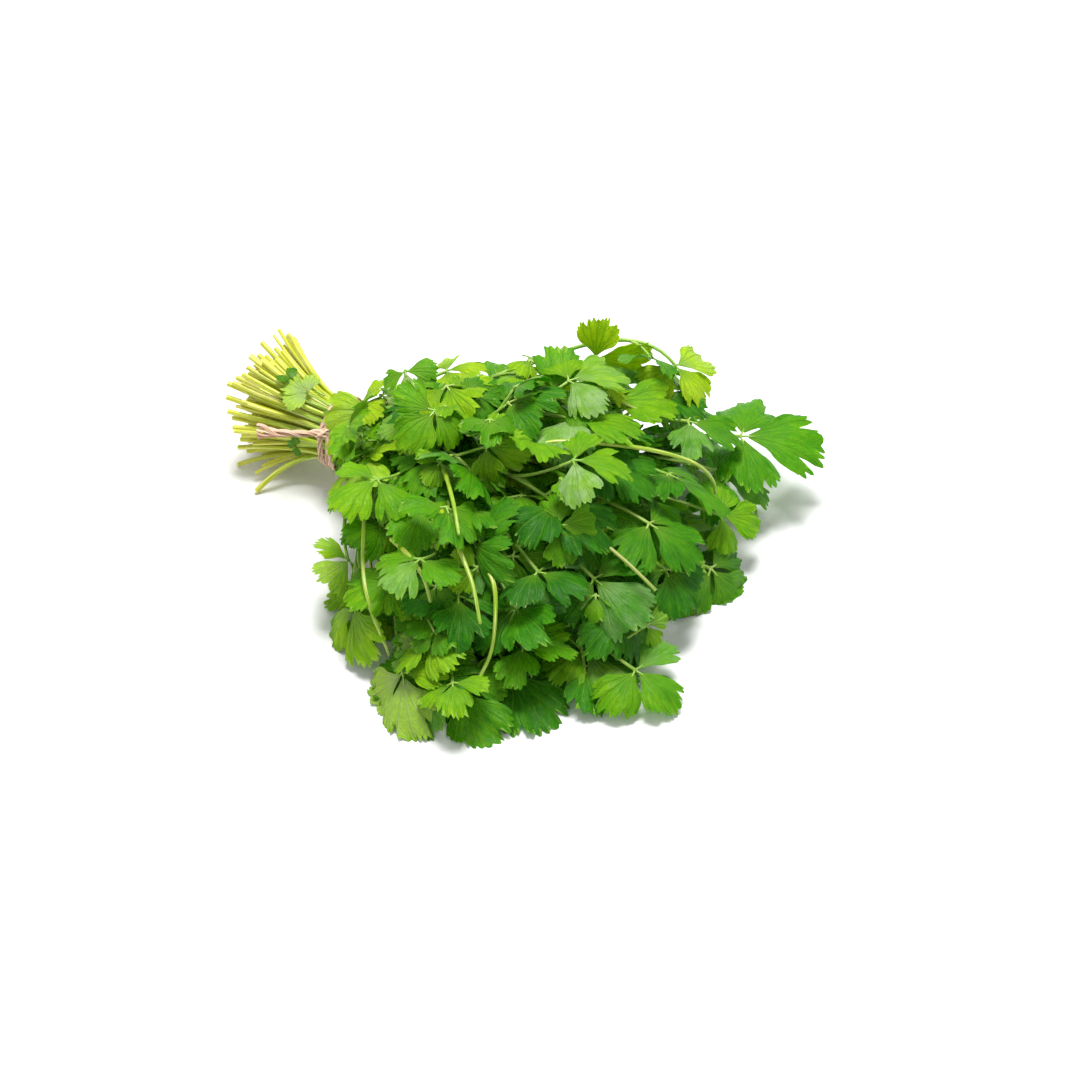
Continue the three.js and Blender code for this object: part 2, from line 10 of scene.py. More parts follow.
import bpy
import numpy as np
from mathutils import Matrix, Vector


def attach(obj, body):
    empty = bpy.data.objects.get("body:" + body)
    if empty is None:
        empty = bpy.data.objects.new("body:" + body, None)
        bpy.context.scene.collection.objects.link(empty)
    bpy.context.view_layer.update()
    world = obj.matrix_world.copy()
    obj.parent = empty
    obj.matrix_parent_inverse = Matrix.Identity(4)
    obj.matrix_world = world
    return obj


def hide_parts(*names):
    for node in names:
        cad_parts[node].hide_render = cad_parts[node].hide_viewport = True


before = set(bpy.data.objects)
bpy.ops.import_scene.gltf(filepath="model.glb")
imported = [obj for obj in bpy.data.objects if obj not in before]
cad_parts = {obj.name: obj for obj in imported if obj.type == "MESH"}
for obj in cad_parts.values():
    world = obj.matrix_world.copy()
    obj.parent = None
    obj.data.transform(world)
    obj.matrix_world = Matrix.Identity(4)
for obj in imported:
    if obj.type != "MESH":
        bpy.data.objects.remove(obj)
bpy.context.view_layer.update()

MM = 0.001

# The bunch, as in its CAD source.
BUNCH_HEADING = -27  # degrees from +X, the way the stems run through the tie
TIE_PLACE = (-83.1, 59)
TIE_HEIGHT = 26
STEM_PITCH = 3.3
STEM_RADIUS = (1.2, 1.5)
STEM_TIP = 0.75
FRONT_STEPS = 5  # straight stretches of a CAD stem ahead of the tie
CUT_LENGTH = (43, 53)
CUT_SPLAY = {"back": 2.3, "front": 0.7, "rise": 1, "longer": 0.7}
MOUND_MIDDLE = 80
SPREAD_HEADING = -30
OUTWARD_LEAN = 0.35
MOST_GOES = 80
TIE_RADIUS = 16.4
LEAFLET_LENGTH = 29
LEAFLET_FOOT = 0.27
FAN_ANGLE = 57
END_LEAF = {"teeth": 7, "lobes": (2, 5)}
SIDE_LEAF = {"teeth": 5, "lobes": (1, 4)}
JOINT_THICKNESS = 1.8
SIDE_LEAFLET = {"angle": 82, "size": 0.86}
SIDE_STALKS = {"from": (0.72, 0.5, 0.3, 0.88), "length": (16, 32), "radius": (0.8, 0.6)}

# The rows of stems in the tie from the top down, each with its shift and, from the back to the front, the
# heading, reach, height, size and pitch of each stem's leaf.
ROWS = (
    (-0.5, ((-18, 51, 62, 0.95, -5), (-16, 24, 48, 1.3, 5), (-62, 80, 50, 1, -20))),
    (0, ((8, 49, 56, 0.6, 20), (-6, 24, 47, 0.8, 10), (-38, 68, 62, 0.9, -10), (-60, 95, 46, 0.9, -20),
         (-68, 34, 40, 1.1, -45))),
    (0.5, ((1, 86, 66, 0.9, 30), (-22, 112, 68, 1.15, 0), (-35, 100, 68, 1, -5), (-41, 184, 40, 1, -25),
           (-48, 90, 61, 0.95, -15), (-58, 118, 48, 1, -20), (-73, 78, 34, 1, -35))),
    (0, ((3, 152, 58, 0.85, -25), (-8, 122, 57, 1, 0), (-29, 134, 64, 1, -5), (-42, 131, 59, 1, -10),
         (-52, 146, 45, 1, -20), (-65, 133, 36, 1, -25), (-78, 52, 36, 0.8, -25))),
    (0, ((8, 117, 56, 0.68, 35), (-7, 158, 48, 1, -5), (-20, 156, 46, 1, -10), (-32, 162, 46, 1, -15),
         (-44, 158, 36, 1, -20), (-57, 148, 33, 1, -25), (-72, 144, 24, 0.9, -20),
         (-82, 94, 27, 0.85, -20))),
    (0, ((-4, 182, 34, 1.22, 0), (-19, 180, 27, 1, -10), (-34, 174, 30, 1, -20), (-44, 170, 24, 1, -20),
         (-58, 158, 20, 1, -20), (-74, 152, 13, 1, -15), (-85, 84, 23, 0.82, -20))),
    (-0.5, ((-10, 172, 28, 1.05, -15), (-26, 184, 15, 1.25, -10), (-34, 166, 15, 1, -15),
            (-47, 192, 12, 0.95, -5), (-69, 158, 10, 1.1, -10), (-77, 148, 14, 1.1, -15),
            (-84, 108, 18, 1.05, -20))),
    (-0.5, ((-14, 132, 7, 1, 0), (-29, 150, 6, 1, 0), (-41, 172, 8, 0.85, 10), (-49, 166, 9, 1, -5),
            (-60, 156, 7, 1.35, -5), (-80, 48, 16, 1, 0))),
    (0, ((-22, 84, 1, 0.9, 0), (-42, 96, 1, 1, 0), (-60, 92, 1, 0.9, 0), (-78, 84, 6, 1, 0))),
)
# What sets single stems apart, by their number: how far the end is bent to the left, how far the leaf is
# rolled, and where a stray cut end lies from the tie's foot.
OWN_TURN = {2: 20, 16: -55, 23: 20, 37: 14, 41: 6}
OWN_ROLL = {16: 40, 23: 75, 31: 15, 38: 20}
OWN_CUT_END = {50: (-40, -13, 1.4), 54: (-50, 6, 1.5)}


def deg(d):
    return d * math.pi / 180


def mix(a, b, t):
    return a + (b - a) * t


def draw(a, b, c):
    """The same number in 0..1 for the same three keys."""
    x = math.sin(a * 12.9898 + b * 78.233 + c * 37.719 + 4.1) * 43758.5453
    return x - math.floor(x)


def sway(a, b, c):
    """The same number in -1..1 for the same three keys."""
    return 2 * draw(a, b, c) - 1


def unit(v):
    return v / np.linalg.norm(v)


def units(rows):
    return rows / np.linalg.norm(rows, axis=1)[:, None]


def turned(v, axis, degrees):
    """A vector turned about an axis."""
    c, s = math.cos(deg(degrees)), math.sin(deg(degrees))
    return v * c + np.cross(axis, v) * s + axis * (axis @ v) * (1 - c)


def heading(d):
    """The level direction at so many degrees from +X."""
    return np.array([math.cos(deg(d)), math.sin(deg(d)), 0.0])


def not_below(points, height):
    """Points, raised to a height where they lie lower."""
    raised = np.array(points)
    raised[..., 2] = np.maximum(raised[..., 2], height)
    return raised


UP = np.array([0.0, 0.0, 1.0])
FORWARD = heading(BUNCH_HEADING)
ACROSS = heading(BUNCH_HEADING + 90)
TIE = np.array([*TIE_PLACE, TIE_HEIGHT], float)


def bezier(controls, t):
    """The points of the Bezier curve with these control points, at the shares t of its length."""
    points = [np.asarray(c, float)[None, :] for c in controls]
    t = np.asarray(t, float)[:, None]
    while len(points) > 1:
        points = [a * (1 - t) + b * t for a, b in zip(points, points[1:])]
    return points[0]


def smooth_path(points, count):
    """A smooth curve through points, at evenly spaced shares."""
    p = np.concatenate([[2 * points[0] - points[1]], points, [2 * points[-1] - points[-2]]])
    path = []
    for t in np.linspace(0, len(points) - 1, count):
        i = min(int(t), len(points) - 2)
        u = t - i
        a, b, c, d = p[i:i + 4]
        path.append(0.5 * (2 * b + (c - a) * u + (2 * a - 5 * b + 4 * c - d) * u ** 2
                           + (3 * b - a - 3 * c + d) * u ** 3))
    return np.array(path)


# ---------------- where the stems and leaves are


def sprigs_in_tie():
    """The stems of ROWS, each with its own number, its place in the tie and its size."""
    sprigs = []
    for r, (shift, stems) in enumerate(ROWS):
        for c, (way, reach, height, size, pitch) in enumerate(stems):
            key = len(sprigs) + 1
            sprigs.append({
                "key": key, "heading": way, "reach": reach, "height": height, "size": size, "pitch": pitch,
                "across": ((len(stems) - 1) / 2 - c + shift) * STEM_PITCH,
                "above": ((len(ROWS) - 1) / 2 - r) * STEM_PITCH * math.sqrt(3) / 2,
                "radius": mix(*STEM_RADIUS, draw(key, 1, 0)),
                "cut": mix(*CUT_LENGTH, draw(key, 2, 0)),
            })
    return sprigs


def stem_curves(s):
    """The control points of a stem behind the tie and ahead of it, and the direction it ends in."""
    in_tie = TIE + ACROSS * s["across"] + UP * s["above"]
    splay = s["across"] * (CUT_SPLAY["back"] if s["across"] > 0 else CUT_SPLAY["front"])
    length = s["cut"] + CUT_SPLAY["longer"] * max(0, s["across"])
    cut_end = in_tie - FORWARD * length + ACROSS * splay + UP * s["above"] * CUT_SPLAY["rise"]
    if s["key"] in OWN_CUT_END:
        cut_end = np.array([*TIE_PLACE, 0.0]) + OWN_CUT_END[s["key"]]
    back = (cut_end, in_tie - FORWARD * s["cut"] * 0.4, in_tie)
    tip = np.array([*TIE_PLACE, s["height"]], float) + heading(s["heading"]) * s["reach"]
    level = turned(heading(s["heading"]), UP, OWN_TURN.get(s["key"], 0)) * math.cos(deg(s["pitch"]))
    end = level + UP * math.sin(deg(s["pitch"]))
    away = in_tie + FORWARD * s["reach"] * 0.3 + ACROSS * s["across"] * 0.5 + UP * s["above"] * 0.5
    front = (in_tie, away, tip - end * s["reach"] * 0.33, tip)
    return back, front, end


def leaflets_of(leaf):
    """The three leaflets of a leaf, each with its own slight twist and droop."""
    leaflets = []
    for n, angle in enumerate((SIDE_LEAFLET["angle"], 0, -SIDE_LEAFLET["angle"])):
        own = leaf["key"] * 10 + n
        go = leaf["go"]
        axis = turned(leaf["forward"], leaf["face"], angle + 3 * sway(own, 1, go))
        right = np.cross(axis, leaf["face"])
        axis = turned(axis, right, 8 - 16 * draw(own, 2, go))
        face = turned(np.cross(right, axis), axis, 14 * sway(own, 3, go))
        size = leaf["size"] * (1 if n == 1 else SIDE_LEAFLET["size"]) * mix(0.9, 1.08, draw(own, 4, 0))
        leaflets.append({
            "own": own, "joint": leaf["at"], "axis": axis, "face": face, "left": np.cross(face, axis),
            "length": LEAFLET_LENGTH * size,
            "droop": 0.16 + 0.2 * draw(own, 5, go),
            "cup": 0.22 * sway(own, 6, go),
        })
    return leaflets


def face_of(at, forward, roll):
    """The way a leaf faces: up and out from the middle of the mound, square to forward, then rolled."""
    middle = np.array([*TIE_PLACE, 0.0]) + heading(SPREAD_HEADING) * MOUND_MIDDLE
    lean = np.array([at[0] - middle[0], at[1] - middle[1], 0]) * OUTWARD_LEAN / 100
    face = UP + lean
    face = unit(face - forward * (face @ forward))
    return turned(face, forward, roll)


def leaf_pose(key, form, at, forward, size, go, own_roll=0):
    """The pose of a leaf for one of its goes, of which the CAD source took the first that was clear."""
    bend = min(1, go / 12)
    yawed = turned(forward, UP, 38 * bend * sway(key, 7, go))
    sideways = unit(np.cross(yawed, UP))
    pointed = turned(yawed, sideways, 45 * bend * sway(key, 8, go))
    roll = own_roll + (12 + 40 * bend) * sway(key, 9, go)
    shrunk = size * (1 - 0.4 * (go / MOST_GOES) ** 1.5)
    return {"key": key, "form": form, "go": go, "at": at, "forward": pointed,
            "face": face_of(at, pointed, roll), "size": shrunk}


def end_leaf(s, go):
    """The leaf at the end of a stem, which has no stalk of its own."""
    roll = OWN_ROLL.get(s["key"], 0)
    return leaf_pose(s["key"] * 10, END_LEAF, s["front"][-1], s["end"], s["size"], go, roll), None


def side_leaf(s, n, go):
    """A leaf on a stalk of its own, and the control points of the stalk."""
    key = s["key"] * 10 + n
    share = SIDE_STALKS["from"][n - 1] + 0.12 * draw(key, 1, go) - 0.04
    step = share * FRONT_STEPS
    chords = bezier(s["front"], np.linspace(0, 1, FRONT_STEPS + 1))
    a, b = chords[int(step)], chords[int(step) + 1]
    root = mix(a, b, step % 1)
    stem_way = unit(b - a)
    side = 1 if draw(key, 2, go // 3) < 0.5 else -1
    out = turned(stem_way, UP, side * mix(18, 42, draw(key, 3, go)))
    shorter = 1 - 0.4 * min(1, go / 12) * draw(key, 5, go)
    length = mix(*SIDE_STALKS["length"], draw(key, 4, go)) * shorter
    rise = length * mix(-0.35, 0.55, draw(key, 6, go))
    tip = not_below(root + out * length + UP * rise, 1)
    middle = not_below(root + stem_way * length * 0.45 + UP * rise * 0.3, 1)
    near_end, end = bezier((root, middle, tip), (0.9999, 1))
    forward = unit(end - near_end)
    forward = unit(np.array([forward[0], forward[1], forward[2] * 0.5 - 0.15]))
    leaf = leaf_pose(key, SIDE_LEAF, tip, forward, s["size"] * mix(0.75, 0.95, draw(key, 7, 0)), go)
    on_stem = bezier(s["front"], (share,))[0]
    return leaf, (on_stem, middle + (on_stem - root), tip)


def fan_point(leaflet, across, out, above=0.0):
    """Points of a leaflet of the CAD: across in -1..1, out 0 at the foot of its fan and 1 at its tip."""
    across, out = np.asarray(across, float), np.asarray(out, float)
    length = leaflet["length"]
    angle = deg(FAN_ANGLE) * across
    r = length * (1 - LEAFLET_FOOT) * out
    ahead = length * LEAFLET_FOOT + r * np.cos(angle)
    lift = length * (leaflet["cup"] * (across * out) ** 2 - leaflet["droop"] * out ** 2) + above
    aside = (r * np.sin(angle))[..., None] * leaflet["left"]
    p = leaflet["joint"] + ahead[..., None] * leaflet["axis"] + aside + lift[..., None] * leaflet["face"]
    return not_below(p, 0)


def cad_edge(across):
    """How far out the teeth of a CAD leaflet reach."""
    return 1 - 0.1 * across ** 2 - 0.14 * across ** 4


def cad_tips(leaf):
    """The tips of the teeth of a CAD leaf."""
    teeth = leaf["form"]["teeth"]
    across = np.array([i / teeth - 1 for i in range(1, 2 * teeth, 2)])
    return np.concatenate([fan_point(leaflet, across, cad_edge(across)) for leaflet in leaflets_of(leaf)])


FOUND = 0.05  # mm between a computed point and the CAD vertex that it is
FOUND_SHARE = 0.7  # of a leaf's tooth tips
CUT_RIM = 4  # vertices at least round the cut end of a stem


def from_tie(place):
    """The heading of a place from the tie, in degrees from +X."""
    return math.degrees(math.atan2(place[1] - TIE_PLACE[1], place[0] - TIE_PLACE[0]))


def gaps_to(points, vertices):
    """From each point to the nearest vertex."""
    return np.linalg.norm(points[:, None, :] - vertices[None, :, :], axis=2).min(axis=1)


def leaf_in_node(vertices, make_leaf):
    """The leaf whose joint and tooth tips are vertices of the node, or nothing."""
    for go in range(MOST_GOES):
        leaf, stalk = make_leaf(go)
        top = not_below(leaf["at"] + leaf["face"] * JOINT_THICKNESS / 2, JOINT_THICKNESS)
        if gaps_to(top[None, :], vertices)[0] > FOUND:
            continue
        if (gaps_to(cad_tips(leaf), vertices) < FOUND).mean() > FOUND_SHARE:
            return {**leaf, "stalk": stalk}
    return None


def read_frame():
    """Each stem with its CAD node and the leaves that the node holds."""
    meshes = {}
    for name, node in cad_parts.items():
        co = np.zeros(len(node.data.vertices) * 3)
        node.data.vertices.foreach_get("co", co)
        meshes[name] = np.unique(np.round(co.reshape(-1, 3) / MM, 4), axis=0)
    sprigs = sprigs_in_tie()
    for s in sprigs:
        s["back"], s["front"], s["end"] = stem_curves(s)
        for name, vertices in meshes.items():
            near = np.linalg.norm(vertices - s["back"][0], axis=1) < s["radius"] + FOUND
            if name != "tie" and near.sum() >= CUT_RIM:
                s["node"] = name
        makers = []
        if not s["node"].startswith("stem"):
            makers.append(lambda go: end_leaf(s, go))
            makers += [lambda go, n=n: side_leaf(s, n, go) for n in range(1, len(SIDE_STALKS["from"]) + 1)]
        found = [leaf_in_node(meshes[s["node"]], make_leaf) for make_leaf in makers]
        s["leaves"] = [leaf for leaf in found if leaf]
    return sprigs


sprigs = read_frame()
leafy = [s for s in sprigs if s["leaves"]]
blades = [leaflet for s in leafy for leaf in s["leaves"] for leaflet in leaflets_of(leaf)]
middles = np.concatenate([fan_point(blade, [0.0], [0.5]) for blade in blades])


# ---------------- meshes

SHARP_ANGLE = 70  # between two faces that meet in an edge


def in_scene(name, data):
    thing = bpy.data.objects.new(name, data)
    bpy.context.scene.collection.objects.link(thing)
    return thing


class Growth:
    """The points, faces and material numbers of one mesh, with what its materials read at each point."""

    def __init__(self):
        self.points, self.grain, self.tone = [], [], []
        self.faces, self.kinds = [], []
        self.count = 0

    def add(self, points, faces, grain, tone, kinds=0):
        self.points.append(np.reshape(points, (-1, 3)))
        self.grain.append(np.reshape(grain, (-1, 3)))
        added = len(self.points[-1])
        self.tone.append(np.broadcast_to(tone, added))
        self.faces += [[i + self.count for i in face] for face in faces]
        self.kinds.append(np.broadcast_to(kinds, len(faces)))
        self.count += added

    def made(self, name, *materials):
        mesh = bpy.data.meshes.new(name)
        mesh.from_pydata(np.concatenate(self.points) * MM, [], self.faces)
        for material in materials:
            mesh.materials.append(material)
        mesh.polygons.foreach_set("material_index", np.concatenate(self.kinds).astype(np.int32))
        grain = mesh.attributes.new("grain", "FLOAT_VECTOR", "POINT")
        grain.data.foreach_set("vector", np.concatenate(self.grain).astype(np.float32).ravel())
        tone = mesh.attributes.new("tone", "FLOAT", "POINT")
        tone.data.foreach_set("value", np.concatenate(self.tone).astype(np.float32))
        mesh.shade_smooth()
        mesh.set_sharp_from_angle(angle=deg(SHARP_ANGLE))
        return in_scene(name, mesh)


def lengths_along(path):
    """The length of a path up to each of its points."""
    return np.concatenate([[0], np.cumsum(np.linalg.norm(np.diff(path, axis=0), axis=1))])


def sides_along(path):
    """At each point of a path the two directions across it, carried along without twist."""
    ways = units(np.gradient(path, axis=0))
    side = np.cross(UP, ways[0])
    if np.linalg.norm(side) < 0.1:
        side = np.cross(heading(0), ways[0])
    sides = []
    for way in ways:
        side = unit(side - way * (side @ way))
        sides.append(side)
    return ways, np.array(sides), np.cross(ways, sides)


def add_tube(growth, path, radii, around, tone, ribs=0.0, flat=1.0, dent=0.0, start=0.0):
    """A closed tube with so many points around it. ribs is how far every second one stands out, flat the
    tube's thickness as a share of its width, and start its place in the pattern of the material. dent sinks
    the middle of the cut that the tube begins with."""
    ways, side, other = sides_along(path)
    radii = np.broadcast_to(radii, len(path))[:, None, None]
    turn = np.arange(around) * 2 * math.pi / around
    swell = 1 + ribs * np.cos(turn * around / 2)
    u, v = np.cos(turn) * swell, np.sin(turn) * swell * flat
    spokes = u[None, :, None] * side[:, None, :] + v[None, :, None] * other[:, None, :]
    rings = path[:, None, :] + radii * spokes
    s = np.broadcast_to(lengths_along(path)[:, None] + start, rings.shape[:2])
    grain = np.stack(np.broadcast_arrays(np.cos(turn)[None, :], np.sin(turn)[None, :], s), axis=2)
    ends = [path[0] + ways[0] * dent * radii[0, 0], path[-1] + ways[-1] * 0.4 * radii[-1, 0]]
    last = (len(path) - 1) * around
    first_cap, last_cap = last + around, last + around + 1
    faces = []
    for k in range(around):
        n = (k + 1) % around
        faces += [[i + k, i + n, i + around + n, i + around + k] for i in range(0, last, around)]
        faces += [[first_cap, n, k], [last_cap, last + k, last + n]]
    grain_ends = [[0, 0, s[0, 0]], [0, 0, s[-1, 0]]]
    tone = np.broadcast_to(tone, len(path))
    growth.add(
        np.concatenate([rings.reshape(-1, 3), ends]),
        faces,
        np.concatenate([grain.reshape(-1, 3), grain_ends]),
        np.concatenate([np.repeat(tone, around), tone[[0, -1]]]),
    )


# ---------------- leaves

BLADE_THICKNESS = 0.34
TOOTH_STEPS = 4  # columns of faces to a fine tooth
TOOTH_DEPTH = 0.09
BLADE_ROWS = 7
VEIN_ANGLE = 2 / 7  # between two main veins, as a share of half the fan
FLOOR_GAP = 0.12  # of the lowest leaves above the surface they lie on
LEAF_TOP, LEAF_UNDER = 0, 1
GROWN = {230: 1.35, 430: 0.9, 420: 0.9, 490: 0.92, 410: 0.9}  # leaves, as a share of their size in the CAD
# The tone of leaves that the rule in leaf_tone doesn't give.
OWN_TONE = {33: 0.35, 100: 0.6, 101: 0.62, 110: 0.64, 140: 0.25, 141: 0.4, 170: 0.62, 191: 0.65, 211: 0.5,
            240: 0.38, 250: 0.3, 260: 0.28, 270: 0.2, 310: 0.35, 390: 0.32, 430: 0.75, 440: 0.75}
UNDERSIDES = {3701, 4301, 4302}  # leaflets of the CAD that show their underside
SHEEN = {601, 1000, 1002, 1012, 1731, 1912}  # leaflets of the CAD with a whitish sheen painted into their colour
TURNED_OVER = 0.08  # share of the leaflets of inner and young leaves that do
SEEDS, SHEEN_SEED = 97, 100  # how many patterns the leaflets share, and what marks the seed of one with painted sheen


def fine_edge(form, own, columns, across):
    """How far out the edge of a leaflet is at each share across: its lobes, and the fine rounded teeth
    on them. The lobes part where the CAD's do."""
    outline = cad_edge(across) * (1 + 0.08 * sway(own, 20, 0) * across)
    lobe_depth = mix(0.18, 0.5, draw(own, 21, 0) ** 1.2)
    width = mix(0.07, 0.15, draw(own, 22, 0))
    for side, lobe in enumerate(form["lobes"]):
        cut = 2 * lobe / form["teeth"] - 1
        depth = lobe_depth * mix(0.5, 1.2, draw(own, 23, side))
        outline = outline * (1 - depth * np.clip(1 - np.abs(across - cut) / width, 0, 1) ** 0.8)
    fine = np.abs(np.sin(math.pi * columns * form["teeth"]))
    own_depth = 1 + 0.35 * np.sin(11 * across + 6 * draw(own, 26, 0))
    outer = np.clip((1 - np.abs(across)) * 5, 0.3, 1)
    return outline * (1.02 - TOOTH_DEPTH * own_depth * outer * (1 - fine ** 0.9))


def leaf_surface(leaflet, form, columns, rows):
    """The points of a leaflet's middle surface, row by row from its foot to its edge."""
    own = leaflet["own"]
    length = leaflet["length"]
    across = columns + 0.07 * np.sin(4.5 * columns + 6 * draw(own, 24, 0)) * (1 - columns ** 2)
    smooth = cad_edge(across)
    edge = fine_edge(form, own, columns, across)
    a, rho = np.meshgrid(across, rows)
    inner_edge = smooth * mix(1, edge.min() / smooth.min(), 0.3)
    out = rho ** 0.85 * mix(inner_edge[None, :], edge[None, :], rho ** 3)
    spread = 1 + mix(0.2, 0.42, draw(own, 25, 0)) * np.sin(math.pi * rho ** 0.7)
    points = fan_point(leaflet, a * spread, out)
    wedge = length * LEAFLET_FOOT * 0.85 * np.clip(1 - rho / 0.4, 0, 1) ** 1.3
    points -= wedge[..., None] * leaflet["axis"]

    r = length * (1 - LEAFLET_FOOT) * out
    phase = [draw(own, 31 + k, 0) for k in range(6)]
    bend = 0.07 * length * out ** 2 * np.sin(2 * math.pi * (mix(0.5, 0.9, phase[0]) * a + phase[1]))
    curl = 0.04 * length * out ** 3 * np.sin(2 * math.pi * (mix(1.6, 2.6, phase[2]) * a + phase[3]))
    fold = mix(-0.06, 0.42, phase[4] ** 1.6) * (np.sqrt((r * np.sin(deg(FAN_ANGLE) * a)) ** 2 + 9) - 3)
    from_vein = np.abs((a / VEIN_ANGLE + 0.5) % 1 - 0.5) * VEIN_ANGLE * deg(FAN_ANGLE) * r
    groove = -0.09 * np.exp(-(from_vein / 0.6) ** 2) * np.clip(rho * 4, 0, 1) * (1 - 0.5 * rho)
    puff = 0.2 * np.sin(r * 1.1 + 5 * phase[5]) * np.sin(a * 7 + 3 * phase[0]) * np.clip(rho * 3, 0, 1)
    points += (bend + curl + fold + groove + puff)[..., None] * leaflet["face"]
    return points, a, r, rho


def add_leaflet(growth, leaflet, form, tone, over=False, steps=TOOTH_STEPS, rows=BLADE_ROWS):
    """A closed thin blade with a top and an underside that meet in its toothed edge. over shows its
    underside."""
    columns = np.linspace(-1, 1, 2 * form["teeth"] * steps + 1)
    rows = np.linspace(0.03, 1, rows + 1)
    middle, a, r, rho = leaf_surface(leaflet, form, columns, rows)
    inner = (slice(1, -1), slice(1, -1))
    half = BLADE_THICKNESS / 2 * (1 - 0.7 * rho ** 2)
    top = not_below(middle + half[..., None] * leaflet["face"], FLOOR_GAP + 2 * half)
    bottom = not_below(middle - half[..., None] * leaflet["face"], FLOOR_GAP)
    middle = not_below(middle, FLOOR_GAP + half)

    n_rows, n_cols = a.shape
    on_top = np.arange(n_rows * n_cols).reshape(n_rows, n_cols)
    under = on_top.copy()
    under[inner] = np.arange((n_rows - 2) * (n_cols - 2)).reshape(n_rows - 2, n_cols - 2) + n_rows * n_cols
    upper = middle.copy()
    upper[inner] = top[inner]

    def quads(index):
        corners = (index[:-1, :-1], index[1:, :-1], index[1:, 1:], index[:-1, 1:])
        return np.stack([c.ravel() for c in corners], axis=1)

    top_faces, under_faces = quads(on_top), quads(under)[:, ::-1]
    shown = LEAF_UNDER if over else LEAF_TOP
    kinds = np.repeat([shown, LEAF_TOP + LEAF_UNDER - shown], [len(top_faces), len(under_faces)])
    seed = np.full_like(a, leaflet["own"] % SEEDS + SHEEN_SEED * (leaflet["own"] in SHEEN))
    grain = np.stack([a, r, seed], axis=2)
    growth.add(
        np.concatenate([upper.reshape(-1, 3), bottom[inner].reshape(-1, 3)]),
        top_faces.tolist() + under_faces.tolist(),
        np.concatenate([grain.reshape(-1, 3), grain[inner].reshape(-1, 3)]),
        tone,
        kinds,
    )


def leaf_tone(leaf):
    """From 0, dark green, to 1, yellow-green. Leaves near the tie and along the back are lightest, near the
    tie partly as painted light against the shade there; along the back on the right a little less, as painted
    shade on that side; and those in the middle of the bunch darkest."""
    if leaf["key"] in OWN_TONE:
        return OWN_TONE[leaf["key"]]
    x, y = leaf["at"][0] - TIE_PLACE[0], leaf["at"][1] - TIE_PLACE[1]
    near_tie = max(0, 1 - math.hypot(x, y) / 110)
    at_back = max(0, min(1, 1 + from_tie(leaf["at"]) / 26))
    at_right = max(0, min(1, (x - 60) / 100))
    in_middle = math.exp(-((x - 85) ** 2 + (y + 80) ** 2) / 50 ** 2)
    low = max(0, 1 - leaf["at"][2] / 30)
    own = 0.42 * sway(leaf["key"], 41, 0) * (1 - near_tie)
    # near_tie lifts the tone partly as painted light, and at_right lowers it as painted shade.
    tone = 0.47 + 0.6 * near_tie + (0.5 - 0.24 * at_right) * at_back - 0.2 * in_middle - 0.12 * low + own
    return min(1, max(0, tone))


# ---------------- stems

STEM_AROUND, STALK_AROUND, FOOT_AROUND = 12, 8, 6  # points round a stem, a stalk and a leaflet's own stalk
BACK_POINTS, FRONT_POINTS = 9, 30
STALK_POINTS, FOOT_POINTS = 9, 6
STEM_RIBS = 0.035
CUT_DENT = 0.5
SQUEEZED = 0.88  # a stem's radius as a share of its CAD node's
KNEE = {"swell": 0.22, "length": 2.5}  # where a stalk leaves a stem


def add_stem(growth, s):
    """A stem that thins toward its leaf, with a swelling where each stalk leaves it."""
    back = bezier(s["back"], np.linspace(0, 1, BACK_POINTS))
    front = bezier(s["front"], np.linspace(0, 1, FRONT_POINTS))
    path = np.concatenate([back, front[1:]])
    share = np.clip((np.arange(len(path)) - BACK_POINTS + 1) / (FRONT_POINTS - 1), 0, 1)
    radii = mix(s["radius"] * SQUEEZED, STEM_TIP, share)
    for leaf in s["leaves"]:
        if leaf["stalk"]:
            from_root = np.linalg.norm(path - leaf["stalk"][0], axis=1)
            radii = radii * (1 + KNEE["swell"] * np.exp(-(from_root / KNEE["length"]) ** 2))
    tone = lengths_along(path) / lengths_along(path)[-1]
    add_tube(growth, path, radii, STEM_AROUND, tone, STEM_RIBS, dent=CUT_DENT, start=s["key"] * 40)


def add_stalks(growth, leaf):
    """The stalk of a side leaf and the short stalks of its leaflets."""
    key = leaf["key"]
    if leaf["stalk"]:
        path = bezier(leaf["stalk"], np.linspace(0, 1, STALK_POINTS))
        radii = np.linspace(*SIDE_STALKS["radius"], STALK_POINTS)
        radii[0] *= 1.3
        add_tube(growth, path, radii, STALK_AROUND, np.linspace(0.75, 1, STALK_POINTS), start=key * 17)
    for leaflet in leaflets_of(leaf):
        start = leaf["at"] - leaf["forward"] * 1.0
        foot = leaf["at"] + leaflet["axis"] * leaflet["length"] * 0.16
        path = bezier((start, mix(leaf["at"], foot, 0.3), foot), np.linspace(0, 1, FOOT_POINTS))
        path = not_below(path, 0.6)
        add_tube(growth, path, np.linspace(0.6, 0.35, FOOT_POINTS), FOOT_AROUND, 1.0, start=leaflet["own"])


# ---------------- the tie

STRAND_FIBRES = 12
FIBRE_AROUND = 6
FIBRE_RADIUS = (0.28, 0.75)
# The two turns round the neck: how far ahead each lies, how far it leans, and how much wider it is.
TURNS = ((-1.3, 0.9, 0), (1.3, -0.9, 0.3))
